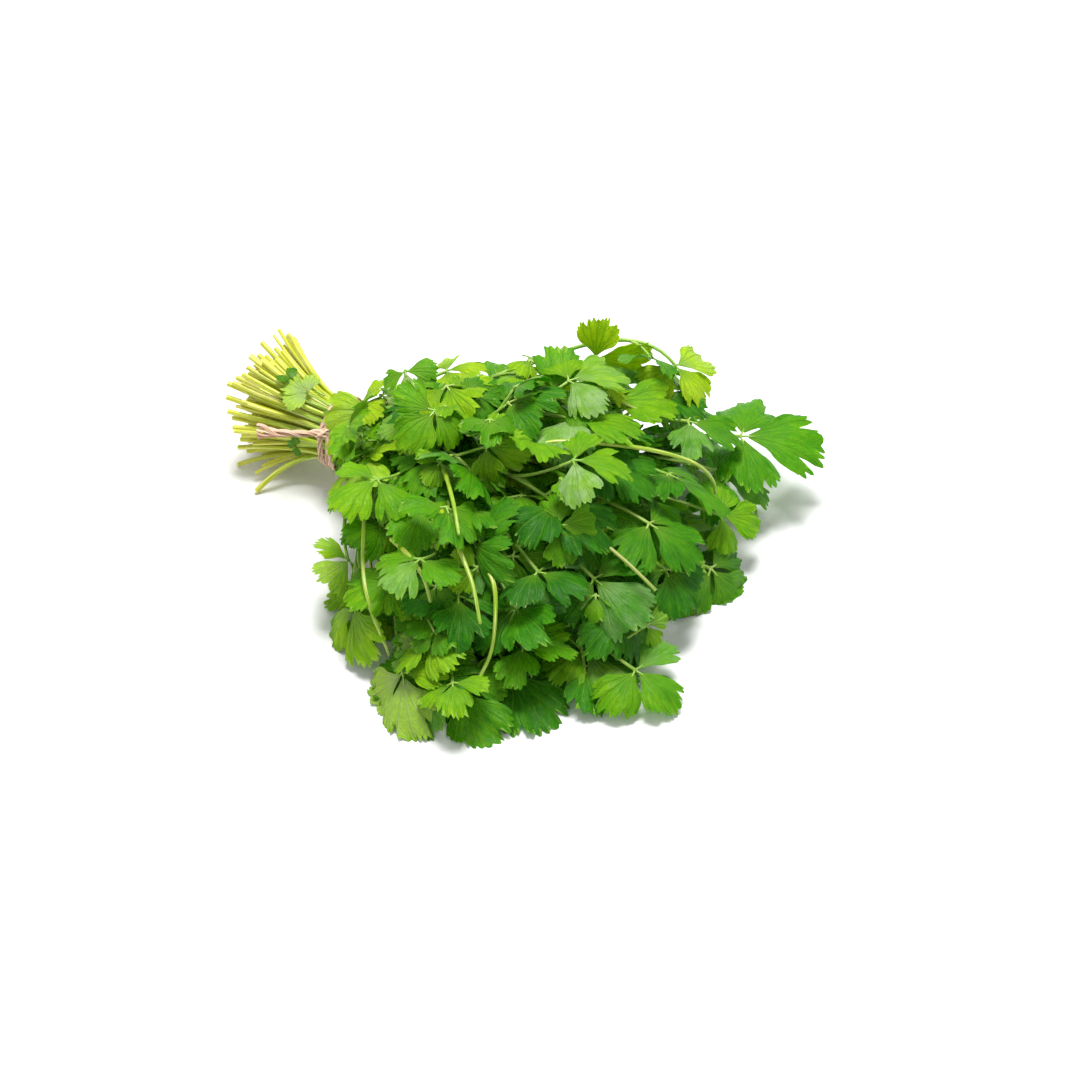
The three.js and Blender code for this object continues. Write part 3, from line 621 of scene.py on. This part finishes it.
# The other strands: the places they pass, as by_tie takes them, their points, widths, thickness and twist.
STRANDS = (
    # The knots in front and on top.
    (((136, 17.4, 3), (145, 18.8, 0), (153, 18.2, -3)), 14, (2.6, 4.8, 4.8, 2.6), 4.2, 0.6),
    (((92, 17.6, -3), (99, 18.8, 1), (108, 17.8, 4)), 14, (2.4, 4.0, 4.0, 2.4), 3.4, 0.6),
    # The end that lies along the cut stems.
    (((143, 18.6, 1), (152, 20.5, -8), (158, 23, -18), (163, 26.5, -29)), 40, (3.2, 3.4, 3.4, 3.4, 4, 6, 8.4),
     2.4, 1.1),
    # The second band at the front, and the end that curls up on top.
    (((140, 18.2, 2), (165, 18.6, 4), (190, 18.6, 5), (215, 18, 6), (240, 17, 7)), 40, (2.4, 2.2, 2.2, 2.0),
     1.5, 3),
    (((99, 18.6, 1), (108, 20.5, 7), (100, 23.5, 12), (90, 24, 18), (88, 25.5, 24)), 40, (1.9, 1.8, 1.7, 1.5),
     1.3, 2.5),
)


def by_tie(angle, radius, ahead):
    """A place at the tie: degrees round it from its back over the top, out from its middle, and ahead."""
    return TIE + radius * (ACROSS * math.cos(deg(angle)) + UP * math.sin(deg(angle))) + FORWARD * ahead


def by_neck(ahead, across, height):
    """A place so far ahead of the tie's foot, to its left and above the surface."""
    return np.array([*TIE_PLACE, height]) + FORWARD * ahead + ACROSS * across


def add_strand(growth, key, path, widths, thickness, twist):
    """A strand of raffia: flat fibres side by side that turn about its middle by so many turns."""
    count = len(path)
    share = np.linspace(0, 1, count)
    widths = np.interp(share, np.linspace(0, 1, len(widths)), widths)
    outward = path - TIE
    outward = units(outward - FORWARD[None, :] * (outward @ FORWARD)[:, None])
    ways = units(np.gradient(path, axis=0))
    side = units(np.cross(outward, ways))
    out = np.cross(ways, side)
    for k in range(STRAND_FIBRES):
        own = key * 20 + k
        place = (k + 0.5) / STRAND_FIBRES * 2 - 1
        turn = 2 * math.pi * twist * share + math.pi * place + 0.6 * sway(own, 1, 0)
        wander = 0.25 * np.sin(2 * math.pi * (share * mix(1.5, 3, draw(own, 2, 0)) + draw(own, 3, 0)))
        u = np.cos(turn) * (0.5 + 0.5 * abs(place)) + wander
        v = np.sin(turn)
        fibre = path + side * (u * widths / 2.4)[:, None] + out * (v * thickness / 2.6)[:, None]
        radius = np.clip(widths / 2 / 3.2 * mix(0.7, 1.15, draw(own, 4, 0)), *FIBRE_RADIUS)
        add_tube(growth, not_below(fibre, 0.5), radius, FIBRE_AROUND, draw(own, 5, 0), flat=0.5,
                 start=own * 30)


def add_tie(growth):
    for key, (offset, lean, looser) in enumerate(TURNS, 1):
        angles = np.linspace(0, 366, 74)
        ahead = [offset + lean * math.cos(deg(t + 35)) for t in angles]
        path = np.array([by_tie(t, TIE_RADIUS + looser, a) for t, a in zip(angles, ahead)])
        add_strand(growth, key, path, (3, 3), 1.5, 5)
    for key, (places, count, widths, thickness, twist) in enumerate(STRANDS, len(TURNS) + 1):
        path = smooth_path([by_tie(*place) for place in places], count)
        add_strand(growth, key, path, widths, thickness, twist)


# ---------------- what the CAD leaves out

# Two kinds of small leaves on stalks from the stems: those that close the view down through the bunch, and
# those that stand up among the large ones. Each has its number, its first key and the ranges of its draws:
# how far along its stem it grows, how far its stalk turns aside, goes out and rises, how its leaf pitches and
# rolls, its size and its tone. stalk is how its stalk sets out, ahead and up.
INNER = {"count": 120, "tries": 4000, "key": 1000, "stem_step": 7, "draws": 70,
         "along": (0.25, 0.85), "turn": 65, "out": (8, 22), "rise": (0, -16), "stalk": (6, 0),
         "pitch": (0, -0.3), "roll": 35, "size": (0.85, 1.1), "tone": (0.08, 0.5)}
YOUNG = {"count": 100, "tries": 3000, "key": 3000, "stem_step": 11, "draws": 60,
         "along": (0.45, 0.95), "turn": 80, "out": (6, 20), "rise": (3, 14), "stalk": (4, 3),
         "pitch": (-0.3, 0.3), "roll": 45, "size": (0.4, 0.7), "tone": (0.2, 0.72)}
SMALL_STEPS, SMALL_ROWS = 2, 4  # as TOOTH_STEPS and BLADE_ROWS
# How near the middle of a leaflet of the CAD a tip of an inner leaf is, and how far above it at most.
COVERED = {"apart": 15, "above": 4}
INNER_HEADING = -77  # the least heading from the tie at which inner leaves grow
# How near the middle of a leaflet of the CAD a young leaf is, how far above it, and give or take how much.
BESIDE = {"apart": 13, "above": 4, "by": 6}
YOUNG_HEADINGS = (-74, -25)
EXTRA_CUTS, BACK_CUTS = 130, 16
LOWEST_CUT = 1.6
# Stems that lie over the leaves, through points from the tie's foot.
LOOSE_STEMS = (
    ((38, -40, 52), (48, -66, 63), (54, -96, 68.5), (57, -116, 67)),
    ((46, -80, 54), (52, -101, 59), (62, -128, 53), (66, -143, 42)),
    ((74, -62, 58), (84, -65, 67), (97, -61, 71), (131, -61, 68), (155, -57, 57), (165, -54, 45),
     (168, -51, 33)),
    ((80, -22, 58), (97, -19, 63), (116, -20, 64), (136, -22, 56)),
    ((28, -100, 50), (36, -115, 54), (42, -122, 49), (45, -127, 39)),
    ((59, -94, 38), (65, -108, 46), (71, -121, 45), (72, -132, 37), (70, -142, 24), (64, -150, 14)),
    ((14, -30, 40), (19, -57, 47), (15, -77, 42), (17, -115, 35), (27, -132, 13)),
)
LOOSE_POINTS = 40
# Small leaves caught by the tie: how far ahead of it, across it and above the surface, their length and tone.
CAUGHT = ((-15, -2.5, 45, 12, 1.0), (-30, 2, 47, 7, 0.1), (-12, -19.5, 28, 5, 0.0), (5, -16.5, 21, 7, 0.1))
CAUGHT_KEY = 2100
# The leaf at the neck: its joint and the tips of its leaflets, as by_tie takes them, and how far each droops.
NECK_JOINT = (98, 24, 23)
NECK_LEAFLETS = (((132, 21, 1), 0.25), ((158, 22, 6), 0.45), ((186, 22, 17), 0.6), ((156, 27, 27), 0.3))
NECK_KEY = 2000


def small_leaf(kind, i):
    """A leaf that may fill a gap, by its number in its kind."""
    draws = kind["draws"]
    host = leafy[i * kind["stem_step"] % len(leafy)]
    along = mix(*kind["along"], draw(i, draws + 1, 0))
    root, ahead = bezier(host["front"], (along, along + 0.03))
    way = turned(unit(ahead - root), UP, kind["turn"] * sway(i, draws + 2, 0))
    out = mix(*kind["out"], draw(i, draws + 3, 0))
    rise = mix(*kind["rise"], draw(i, draws + 4, 0))
    tip = not_below(root + way * out + UP * rise, 2)
    forward = unit(np.array([way[0], way[1], mix(*kind["pitch"], draw(i, draws + 5, 0))]))
    face = face_of(tip, forward, kind["roll"] * sway(i, draws + 6, 0))
    stalk_ahead, stalk_up = kind["stalk"]
    return {"key": kind["key"] + i, "form": SIDE_LEAF, "go": 0, "at": tip, "forward": forward, "face": face,
            "size": mix(*kind["size"], draw(i, draws + 7, 0)),
            "stalk": (root, root + way * stalk_ahead + UP * stalk_up, tip)}


def is_covered(leaf):
    """Whether each leaflet's tip lies under a leaf of the CAD, or only just above one."""
    for leaflet in leaflets_of(leaf):
        tip = fan_point(leaflet, [0.0], [1.0])[0]
        if from_tie(tip) < INNER_HEADING:
            return False
        apart = np.linalg.norm(middles[:, :2] - tip[:2], axis=1)
        if not ((apart < COVERED["apart"]) & (middles[:, 2] + COVERED["above"] > tip[2])).any():
            return False
    return True


def is_beside(leaf):
    """Whether a leaf stands among the leaves of the CAD."""
    apart = np.linalg.norm(middles[:, :2] - leaf["at"][:2], axis=1)
    off = np.abs(middles[:, 2] - leaf["at"][2] + BESIDE["above"])
    near = (apart < BESIDE["apart"]) & (off < BESIDE["by"])
    return near.any() and YOUNG_HEADINGS[0] < from_tie(leaf["at"]) < YOUNG_HEADINGS[1]


def add_small_leaves(kind, fits, leaves, stalks):
    """The first leaves of a kind, by their number, that fit."""
    tried = ((i, small_leaf(kind, i)) for i in range(kind["tries"]))
    fitting = ((i, leaf) for i, leaf in tried if fits(leaf))
    for i, leaf in islice(fitting, kind["count"]):
        add_stalks(stalks, leaf)
        tone = mix(*kind["tone"], draw(i, kind["draws"] + 8, 0))
        for leaflet in leaflets_of(leaf):
            over = draw(leaflet["own"], 51, 0) < TURNED_OVER
            add_leaflet(leaves, leaflet, SIDE_LEAF, tone, over, SMALL_STEPS, SMALL_ROWS)


def add_loose_stems(growth):
    for n, points in enumerate(LOOSE_STEMS):
        path = smooth_path(np.array(points, float) + [*TIE_PLACE, 0], LOOSE_POINTS)
        radii = np.linspace(1.15, 0.75, LOOSE_POINTS)
        tone = np.linspace(0.15, 0.6, LOOSE_POINTS)
        add_tube(growth, path, radii, STEM_AROUND, tone, STEM_RIBS, start=900 + n * 50)


def add_cut(growth, a, b, share, stray, radius, start):
    """A cut stem a share of the way from stem a to stem b behind the tie, off by stray at its cut end."""
    pairs = zip(a["back"], b["back"], (stray, stray * 0.4, stray * 0))
    path = bezier([mix(p, q, share) + d for p, q, d in pairs], np.linspace(0, 0.95, BACK_POINTS))
    tone = np.linspace(0, 0.2, BACK_POINTS)
    path = not_below(path, LOWEST_CUT)
    add_tube(growth, path, radius, STALK_AROUND, tone, STEM_RIBS, dent=CUT_DENT, start=start)


def add_extra_cuts(growth):
    """More cut stems: between neighbours in the tie, and among the stems at the back."""
    for i in range(EXTRA_CUTS):
        a = int(draw(i, 81, 0) * (len(sprigs) - 2))
        stray = ACROSS * 5 * sway(i, 82, 0) + FORWARD * 9 * draw(i, 83, 0) + UP * 3.5 * sway(i, 84, 0)
        radius = mix(0.75, 1.25, draw(i, 85, 0))
        add_cut(growth, sprigs[a], sprigs[a + 1], 0.5, stray, radius, i * 31)
    from_back = sorted(sprigs, key=lambda s: -s["across"])
    for i in range(BACK_CUTS):
        a, b = from_back[i % 3], from_back[1 + i * 5 % 6]
        stray = UP * 3 * sway(i, 86, 0) - FORWARD * mix(-3, 6, draw(i, 87, 0)) + ACROSS * 3 * draw(i, 88, 0)
        add_cut(growth, a, b, draw(i, 89, 0), stray, mix(0.75, 1.2, draw(i, 90, 0)), i * 37)


def leaflet_toward(own, joint, place, face, droop, cup):
    """A leaflet that points from its joint toward a place and nearly reaches it."""
    length = np.linalg.norm(place - joint)
    axis = unit(place - joint + face * droop * length)
    face = unit(face - axis * (face @ axis))
    return {"own": own, "joint": joint, "axis": axis, "face": face, "left": np.cross(face, axis),
            "length": length, "droop": droop, "cup": cup}


def add_neck_leaf(leaves, stalks):
    """The folded young leaf that hangs over the front of the neck, on a stalk from the top of the bunch."""
    joint = by_tie(*NECK_JOINT)
    for n, (place, droop) in enumerate(NECK_LEAFLETS):
        tip = by_tie(*place)
        outward = unit(mix(joint, tip, 0.6) - by_tie(0, 0, 24 if n else 0))
        leaflet = leaflet_toward(NECK_KEY + n, joint, tip, outward, droop, 0.1)
        add_leaflet(leaves, leaflet, END_LEAF, 1.0 - 0.08 * n)
    path = smooth_path([by_neck(6, 2, 40), by_neck(14, 1, 45), joint], 14)
    add_tube(stalks, path, 0.9, STALK_AROUND, 0.4)


def add_caught_leaves(leaves, stalks):
    """The small leaves under the tie, of which the first shows its underside."""
    for n, (ahead, across, height, length, tone) in enumerate(CAUGHT):
        joint = by_neck(ahead, across, height)
        away = unit(UP * (height - TIE_HEIGHT) + ACROSS * across)
        for k, turn in enumerate((-70, 0, 70)):
            way = turned(FORWARD * (1 if n % 2 else -1), away, turn + 25 * sway(n, 91, k))
            place = joint + way * length * mix(0.8, 1.1, draw(n, 92, k)) + away * 0.8
            leaflet = leaflet_toward(CAUGHT_KEY + 10 * n + k, joint, place, away, 0.2, 0.1)
            add_leaflet(leaves, leaflet, SIDE_LEAF, tone, n == 0)
        under_tie = by_neck(ahead * 0.3, across * 0.8, mix(TIE_HEIGHT, height, 0.8))
        add_tube(stalks, smooth_path([under_tie, joint], 8), 0.5, FOOT_AROUND, 0.5)


# ---------------- materials


class Nodes:
    """The node tree of a new material. Calling it adds a node and links or sets its inputs."""

    def __init__(self, name):
        self.material = bpy.data.materials.new(name)
        self.material.use_nodes = True
        self.tree = self.material.node_tree
        self.tree.nodes.clear()

    def __call__(self, kind, inputs=None, out=0, **props):
        node = self.tree.nodes.new("ShaderNode" + kind)
        for name, value in props.items():
            setattr(node, name, value)
        for key, value in (inputs or {}).items():
            socket = node.inputs[key]
            if isinstance(value, bpy.types.NodeSocket):
                self.tree.links.new(value, socket)
            else:
                socket.default_value = value
        return node.outputs[out]

    def math(self, operation, *values):
        return self("Math", dict(enumerate(values)), operation=operation)

    def times(self, a, b):
        return self.math("MULTIPLY", a, b)

    def plus(self, a, b):
        return self.math("ADD", a, b)

    def minus(self, a, b):
        return self.math("SUBTRACT", a, b)

    def smooth(self, value, low, high, to_low=0.0, to_high=1.0):
        """From to_low where value is at low to to_high where it is at high, smoothly."""
        return self("MapRange", {"Value": value, "From Min": low, "From Max": high, "To Min": to_low,
                                 "To Max": to_high}, interpolation_type="SMOOTHSTEP")

    def mixed(self, factor, a, b):
        """The colour a, mixed with b by the factor."""
        return self("Mix", {0: factor, 6: a, 7: b}, 2, data_type="RGBA")

    def ramp(self, factor, *stops):
        """The colour at factor on a ramp of stops, each a position and its colour."""
        node = self.tree.nodes.new("ShaderNodeValToRGB")
        self.tree.links.new(factor, node.inputs[0])
        elements = node.color_ramp.elements
        while len(elements) < len(stops):
            elements.new(0.5)
        for element, (position, colour) in zip(elements, stops):
            element.position = position
            element.color = (*colour, 1)
        return node.outputs[0]

    def attribute(self, name, out="Fac"):
        return self("Attribute", out=out, attribute_name=name)

    def noise(self, place, scale=1.0, detail=2.0, roughness=0.5):
        return self("TexNoise", {"Vector": place, "Scale": scale, "Detail": detail, "Roughness": roughness})

    def mottle(self, scale, detail=3.0):
        """Noise in the space of the object."""
        return self.noise(self("TexCoord", out=3), scale, detail, 0.6)

    def along_grain(self, stretch, scale, detail):
        """Noise that is stretched along the grain of a stem or a fibre."""
        grain = self.attribute("grain", "Vector")
        return self.noise(self("Mapping", {"Vector": grain, "Scale": stretch}), scale, detail)

    def finish(self, shader):
        output = self.tree.nodes.new("ShaderNodeOutputMaterial")
        self.tree.links.new(shader, output.inputs["Surface"])
        return self.material


def rgb(*colour):
    return (*colour, 1.0)


def vein_masks(n):
    """How strongly a point of a leaf lies on a main vein and on any vein, the fine folds that run out along
    the veins, its radius from the foot, and the seed of its leaflet."""
    grain = n("SeparateXYZ", {0: n.attribute("grain", "Vector")})
    node = grain.node
    across, r, seed = node.outputs[0], node.outputs[1], node.outputs[2]
    place = n("CombineXYZ", {0: n.times(across, 3.0), 1: n.times(r, 0.12), 2: seed})
    bent = n.plus(across, n.times(n.minus(n.noise(place), 0.5), 0.16))
    cycle = n.math("FRACT", n.plus(n.math("DIVIDE", bent, VEIN_ANGLE), 0.5))
    away = n.times(n.math("ABSOLUTE", n.minus(cycle, 0.5)), VEIN_ANGLE * deg(FAN_ANGLE))
    away = n.times(away, n.plus(r, 0.8))
    main = n.smooth(away, 0.45, 0.12)
    branch = n.minus(r, n.times(away, 1.4))
    cycle = n.math("FRACT", n.math("DIVIDE", branch, 2.7))
    gap = n.times(n.math("ABSOLUTE", n.minus(cycle, 0.5)), 2.7)
    side = n.times(n.smooth(gap, 0.34, 0.08), 0.6)
    net_place = n("CombineXYZ", {0: n.times(across, n.times(r, 0.8)), 1: r, 2: seed})
    net = n("TexVoronoi", {"Vector": net_place, "Scale": 0.9}, feature="DISTANCE_TO_EDGE")
    fine = n.times(n.smooth(net, 0.10, 0.02), 0.3)
    rib_place = n("CombineXYZ", {0: n.times(bent, 9.0), 1: n.times(r, 0.14), 2: seed})
    ribs = n.noise(rib_place, detail=1.0)
    return main, n.math("MAXIMUM", main, n.math("MAXIMUM", side, fine)), ribs, r, seed


# From dark leaves to light ones: the top, the underside, and the light that comes through.
TOP_GREENS = (
    (0.0, (0.018, 0.15, 0.004)),
    (0.25, (0.055, 0.27, 0.004)),
    (0.5, (0.14, 0.40, 0.004)),
    (0.75, (0.28, 0.54, 0.005)),
    (1.0, (0.48, 0.69, 0.012)),
)
UNDER_GREENS = (
    (0.0, (0.20, 0.46, 0.03)),
    (0.5, (0.36, 0.64, 0.05)),
    (1.0, (0.56, 0.78, 0.09)),
)
THROUGH_GREENS = (
    (0.0, (0.14, 0.55, 0.005)),
    (0.5, (0.32, 0.72, 0.006)),
    (1.0, (0.70, 0.92, 0.03)),
)
SHINES_THROUGH = 0.42  # share of a leaf's look
# From the cut end of a stem to its leaf.
STEM_GREENS = (
    (0.0, (0.58, 0.58, 0.035)),
    (0.12, (0.45, 0.52, 0.012)),
    (0.35, (0.30, 0.46, 0.015)),
    (0.7, (0.22, 0.42, 0.045)),
    (1.0, (0.20, 0.44, 0.03)),
)
RAFFIA_TANS = (
    (0.0, (0.72, 0.42, 0.27)),
    (0.5, (0.84, 0.54, 0.37)),
    (1.0, (0.94, 0.70, 0.52)),
)


def leaf_material(name, greens, vein_colour, vein_strength, relief, roughness):
    """The skin of one side of a leaf. relief is how far its veins stand out."""
    n = Nodes(name)
    main, veins, ribs, r, seed = vein_masks(n)
    patches = n.times(n.minus(n.mottle(110), 0.5), 0.5)
    patches = n.plus(patches, n.times(n.minus(ribs, 0.5), 0.5))
    tone = n.plus(n.attribute("tone"), patches)
    green = n.ramp(tone, *greens)
    colour = n.mixed(n.times(veins, vein_strength), green, rgb(*vein_colour))
    foot = n.smooth(r, 7.0, 0.5, 0.0, 0.75)
    colour = n.mixed(foot, colour, rgb(*vein_colour))
    height = n.times(veins, relief)
    for layer, depth in ((n.mottle(900, 2.0), 0.35), (n.mottle(260), 1.2), (ribs, 2.4)):
        height = n.plus(height, n.times(layer, depth))
    bump = n("Bump", {"Height": height, "Strength": 0.7, "Distance": 0.0004})
    rough = n.smooth(n.mottle(160), 0.3, 0.7, roughness - 0.07, roughness + 0.07)
    # Painted whitish sheen: a random few leaflets and those in SHEEN get a pale green mixed into their
    # colour, in patches.
    own = n("TexWhiteNoise", {"Vector": seed})
    sheen = n.smooth(seed, SHEEN_SEED - 2, SHEEN_SEED - 1, 0.0, 1.8)
    pale_and_painted_shine = n.math("MAXIMUM", n.smooth(own, 0.86, 0.95, 0.0, 0.8), sheen)
    pale_and_painted_shine = n.times(pale_and_painted_shine, n.smooth(n.mottle(130), 0.35, 0.65, 0.1, 0.45))
    colour = n.mixed(pale_and_painted_shine, colour, rgb(0.46, 0.66, 0.28))
    skin = n("BsdfPrincipled", {"Base Color": colour, "Roughness": rough, "Normal": bump, "IOR": 1.42,
                                "Specular IOR Level": 0.27})
    lit = n.ramp(tone, *THROUGH_GREENS)
    lit = n.mixed(n.times(main, 0.25), lit, rgb(0.10, 0.30, 0.01))
    glow = n("BsdfTranslucent", {"Color": lit, "Normal": bump})
    return n.finish(n("MixShader", {0: SHINES_THROUGH, 1: skin, 2: glow}))


def stem_material():
    n = Nodes("stem skin")
    streaks = n.along_grain((1.6, 1.6, 0.05), 1.5, 3.0)
    patches = n.along_grain((0.2, 0.2, 0.012), 1.0, 1.0)
    green = n.ramp(n.attribute("tone"), *STEM_GREENS)
    # Pale streaks along the grain: partly the stem's own colour, partly painted highlight.
    pale_and_painted_shine = n.smooth(streaks, 0.46, 0.70, 0.0, 0.8)
    colour = n.mixed(pale_and_painted_shine, green, rgb(0.84, 0.84, 0.32))
    blush = n.smooth(patches, 0.60, 0.72, 0.0, 0.45)
    colour = n.mixed(blush, colour, rgb(0.42, 0.26, 0.13))
    height = n.plus(streaks, n.times(n.mottle(700), 0.3))
    bump = n("Bump", {"Height": height, "Strength": 0.4, "Distance": 0.0002})
    rough = n.smooth(patches, 0.3, 0.7, 0.20, 0.34)
    return n.finish(n("BsdfPrincipled", {
        "Base Color": colour, "Roughness": rough, "Normal": bump, "IOR": 1.42,
        "Subsurface Weight": 0.3, "Subsurface Radius": (0.0012, 0.0014, 0.0004), "Subsurface Scale": 1.0,
    }))


def raffia_material():
    n = Nodes("raffia fibre")
    fibres = n.along_grain((3.0, 3.0, 0.10), 2.0, 4.0)
    patches = n.along_grain((0.3, 0.3, 0.05), 1.0, 2.0)
    tan = n.ramp(n.attribute("tone"), *RAFFIA_TANS)
    # Pale fibres along the grain: partly the raffia's own colour, partly painted highlight.
    colour = n.mixed(n.smooth(fibres, 0.4, 0.7, 0.0, 0.5), tan, rgb(0.97, 0.82, 0.68))
    colour = n.mixed(n.smooth(patches, 0.45, 0.75, 0.0, 0.35), colour, rgb(0.66, 0.36, 0.22))
    bump = n("Bump", {"Height": fibres, "Strength": 0.7, "Distance": 0.0003})
    return n.finish(n("BsdfPrincipled", {
        "Base Color": colour, "Roughness": 0.8, "Normal": bump, "Sheen Weight": 0.2,
    }))


leaf_top = leaf_material("leaf top", TOP_GREENS, (0.20, 0.42, 0.03), vein_strength=0.30, relief=-1.0,
                         roughness=0.42)
leaf_under = leaf_material("leaf underside", UNDER_GREENS, (0.50, 0.66, 0.26), vein_strength=0.55, relief=1.6,
                           roughness=0.6)
stem_skin = stem_material()
raffia = raffia_material()


# ---------------- the bunch

for s in sprigs:
    stem = Growth()
    add_stem(stem, s)
    leaves = Growth()
    for leaf in s["leaves"]:
        add_stalks(stem, leaf)
        tone = leaf_tone(leaf)
        for leaflet in leaflets_of(leaf):
            leaflet["length"] *= GROWN.get(leaf["key"], 1)
            own_tone = tone + 0.06 * sway(leaflet["own"], 42, 0)
            add_leaflet(leaves, leaflet, leaf["form"], own_tone, leaflet["own"] in UNDERSIDES)
    name = s["node"]
    piece = stem.made(f"{name}_stem", stem_skin)
    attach(piece, "root")
    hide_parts(name)
    if s["leaves"]:
        piece = leaves.made(f"{name}_leaves", leaf_top, leaf_under)
        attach(piece, "root")
        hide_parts(name)

fills = (
    ("inner_leaves", "inner_stalks", lambda *pair: add_small_leaves(INNER, is_covered, *pair)),
    ("young_leaves", "young_stalks", lambda *pair: add_small_leaves(YOUNG, is_beside, *pair)),
    ("neck_leaf", "neck_stalk", add_neck_leaf),
    ("caught_leaves", "caught_stalks", add_caught_leaves),
)
for leaves_name, stalks_name, add in fills:
    leaves, stalks = Growth(), Growth()
    add(leaves, stalks)
    for piece, slot in ((leaves.made(leaves_name, leaf_top, leaf_under), "leaf"),
                        (stalks.made(stalks_name, stem_skin), "stem")):
        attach(piece, "root")
for name, add in (("loose_stems", add_loose_stems), ("extra_cut_stems", add_extra_cuts)):
    stems = Growth()
    add(stems)
    piece = stems.made(name, stem_skin)
    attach(piece, "root")

tie_growth = Growth()
add_tie(tie_growth)
tie = tie_growth.made("raffia_tie", raffia)
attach(tie, "root")
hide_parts("tie")


# ---------------- floor, lights and camera

FLOOR_HALF = 3.0  # metres
CAMERA_ELEVATION = 42
CAMERA_DISTANCE = 1.15
CAMERA_AIM = np.array([TIE_PLACE[0] + 90.54, TIE_PLACE[1] - 44.93, 0.0]) * MM
LENS = 85
LAMP = {"place": (0.04, 0.24, 1.3), "size": 0.6, "power": 21}  # metres from the origin, metres and watts
SURROUNDINGS_STRENGTH = 0.585


def floor():
    mesh = bpy.data.meshes.new("floor")
    corners = [(x * FLOOR_HALF, y * FLOOR_HALF, 0) for x, y in ((-1, -1), (1, -1), (1, 1), (-1, 1))]
    mesh.from_pydata(corners, [], [(0, 1, 2, 3)])
    n = Nodes("white floor")
    shader = n("BsdfPrincipled", {"Base Color": rgb(0.94, 0.94, 0.94), "Roughness": 0.85,
                                  "Specular IOR Level": 0.1})
    mesh.materials.append(n.finish(shader))
    piece = in_scene("floor", mesh)


def lamp():
    """A round area light overhead, turned to the origin."""
    disk = bpy.data.lights.new("overhead", "AREA")
    disk.shape = "DISK"
    disk.size = LAMP["size"]
    disk.energy = LAMP["power"]
    light = in_scene("overhead", disk)
    light.location = LAMP["place"]
    light.rotation_euler = (-Vector(LAMP["place"])).to_track_quat("-Z", "Y").to_euler()


def surroundings():
    world = bpy.data.worlds.new("white surroundings")
    world.use_nodes = True
    background = world.node_tree.nodes["Background"]
    background.inputs["Color"].default_value = rgb(1, 1, 1)
    background.inputs["Strength"].default_value = SURROUNDINGS_STRENGTH
    bpy.context.scene.world = world


def camera():
    lens = bpy.data.cameras.new("camera")
    lens.lens = LENS
    eye = in_scene("camera", lens)
    away = np.array([0, -math.cos(deg(CAMERA_ELEVATION)), math.sin(deg(CAMERA_ELEVATION))])
    eye.location = CAMERA_AIM + away * CAMERA_DISTANCE
    eye.rotation_euler = Vector(-away).to_track_quat("-Z", "Y").to_euler()
    bpy.context.scene.camera = eye


floor()
surroundings()
lamp()
camera()
bpy.context.scene.view_settings.view_transform = "Standard"
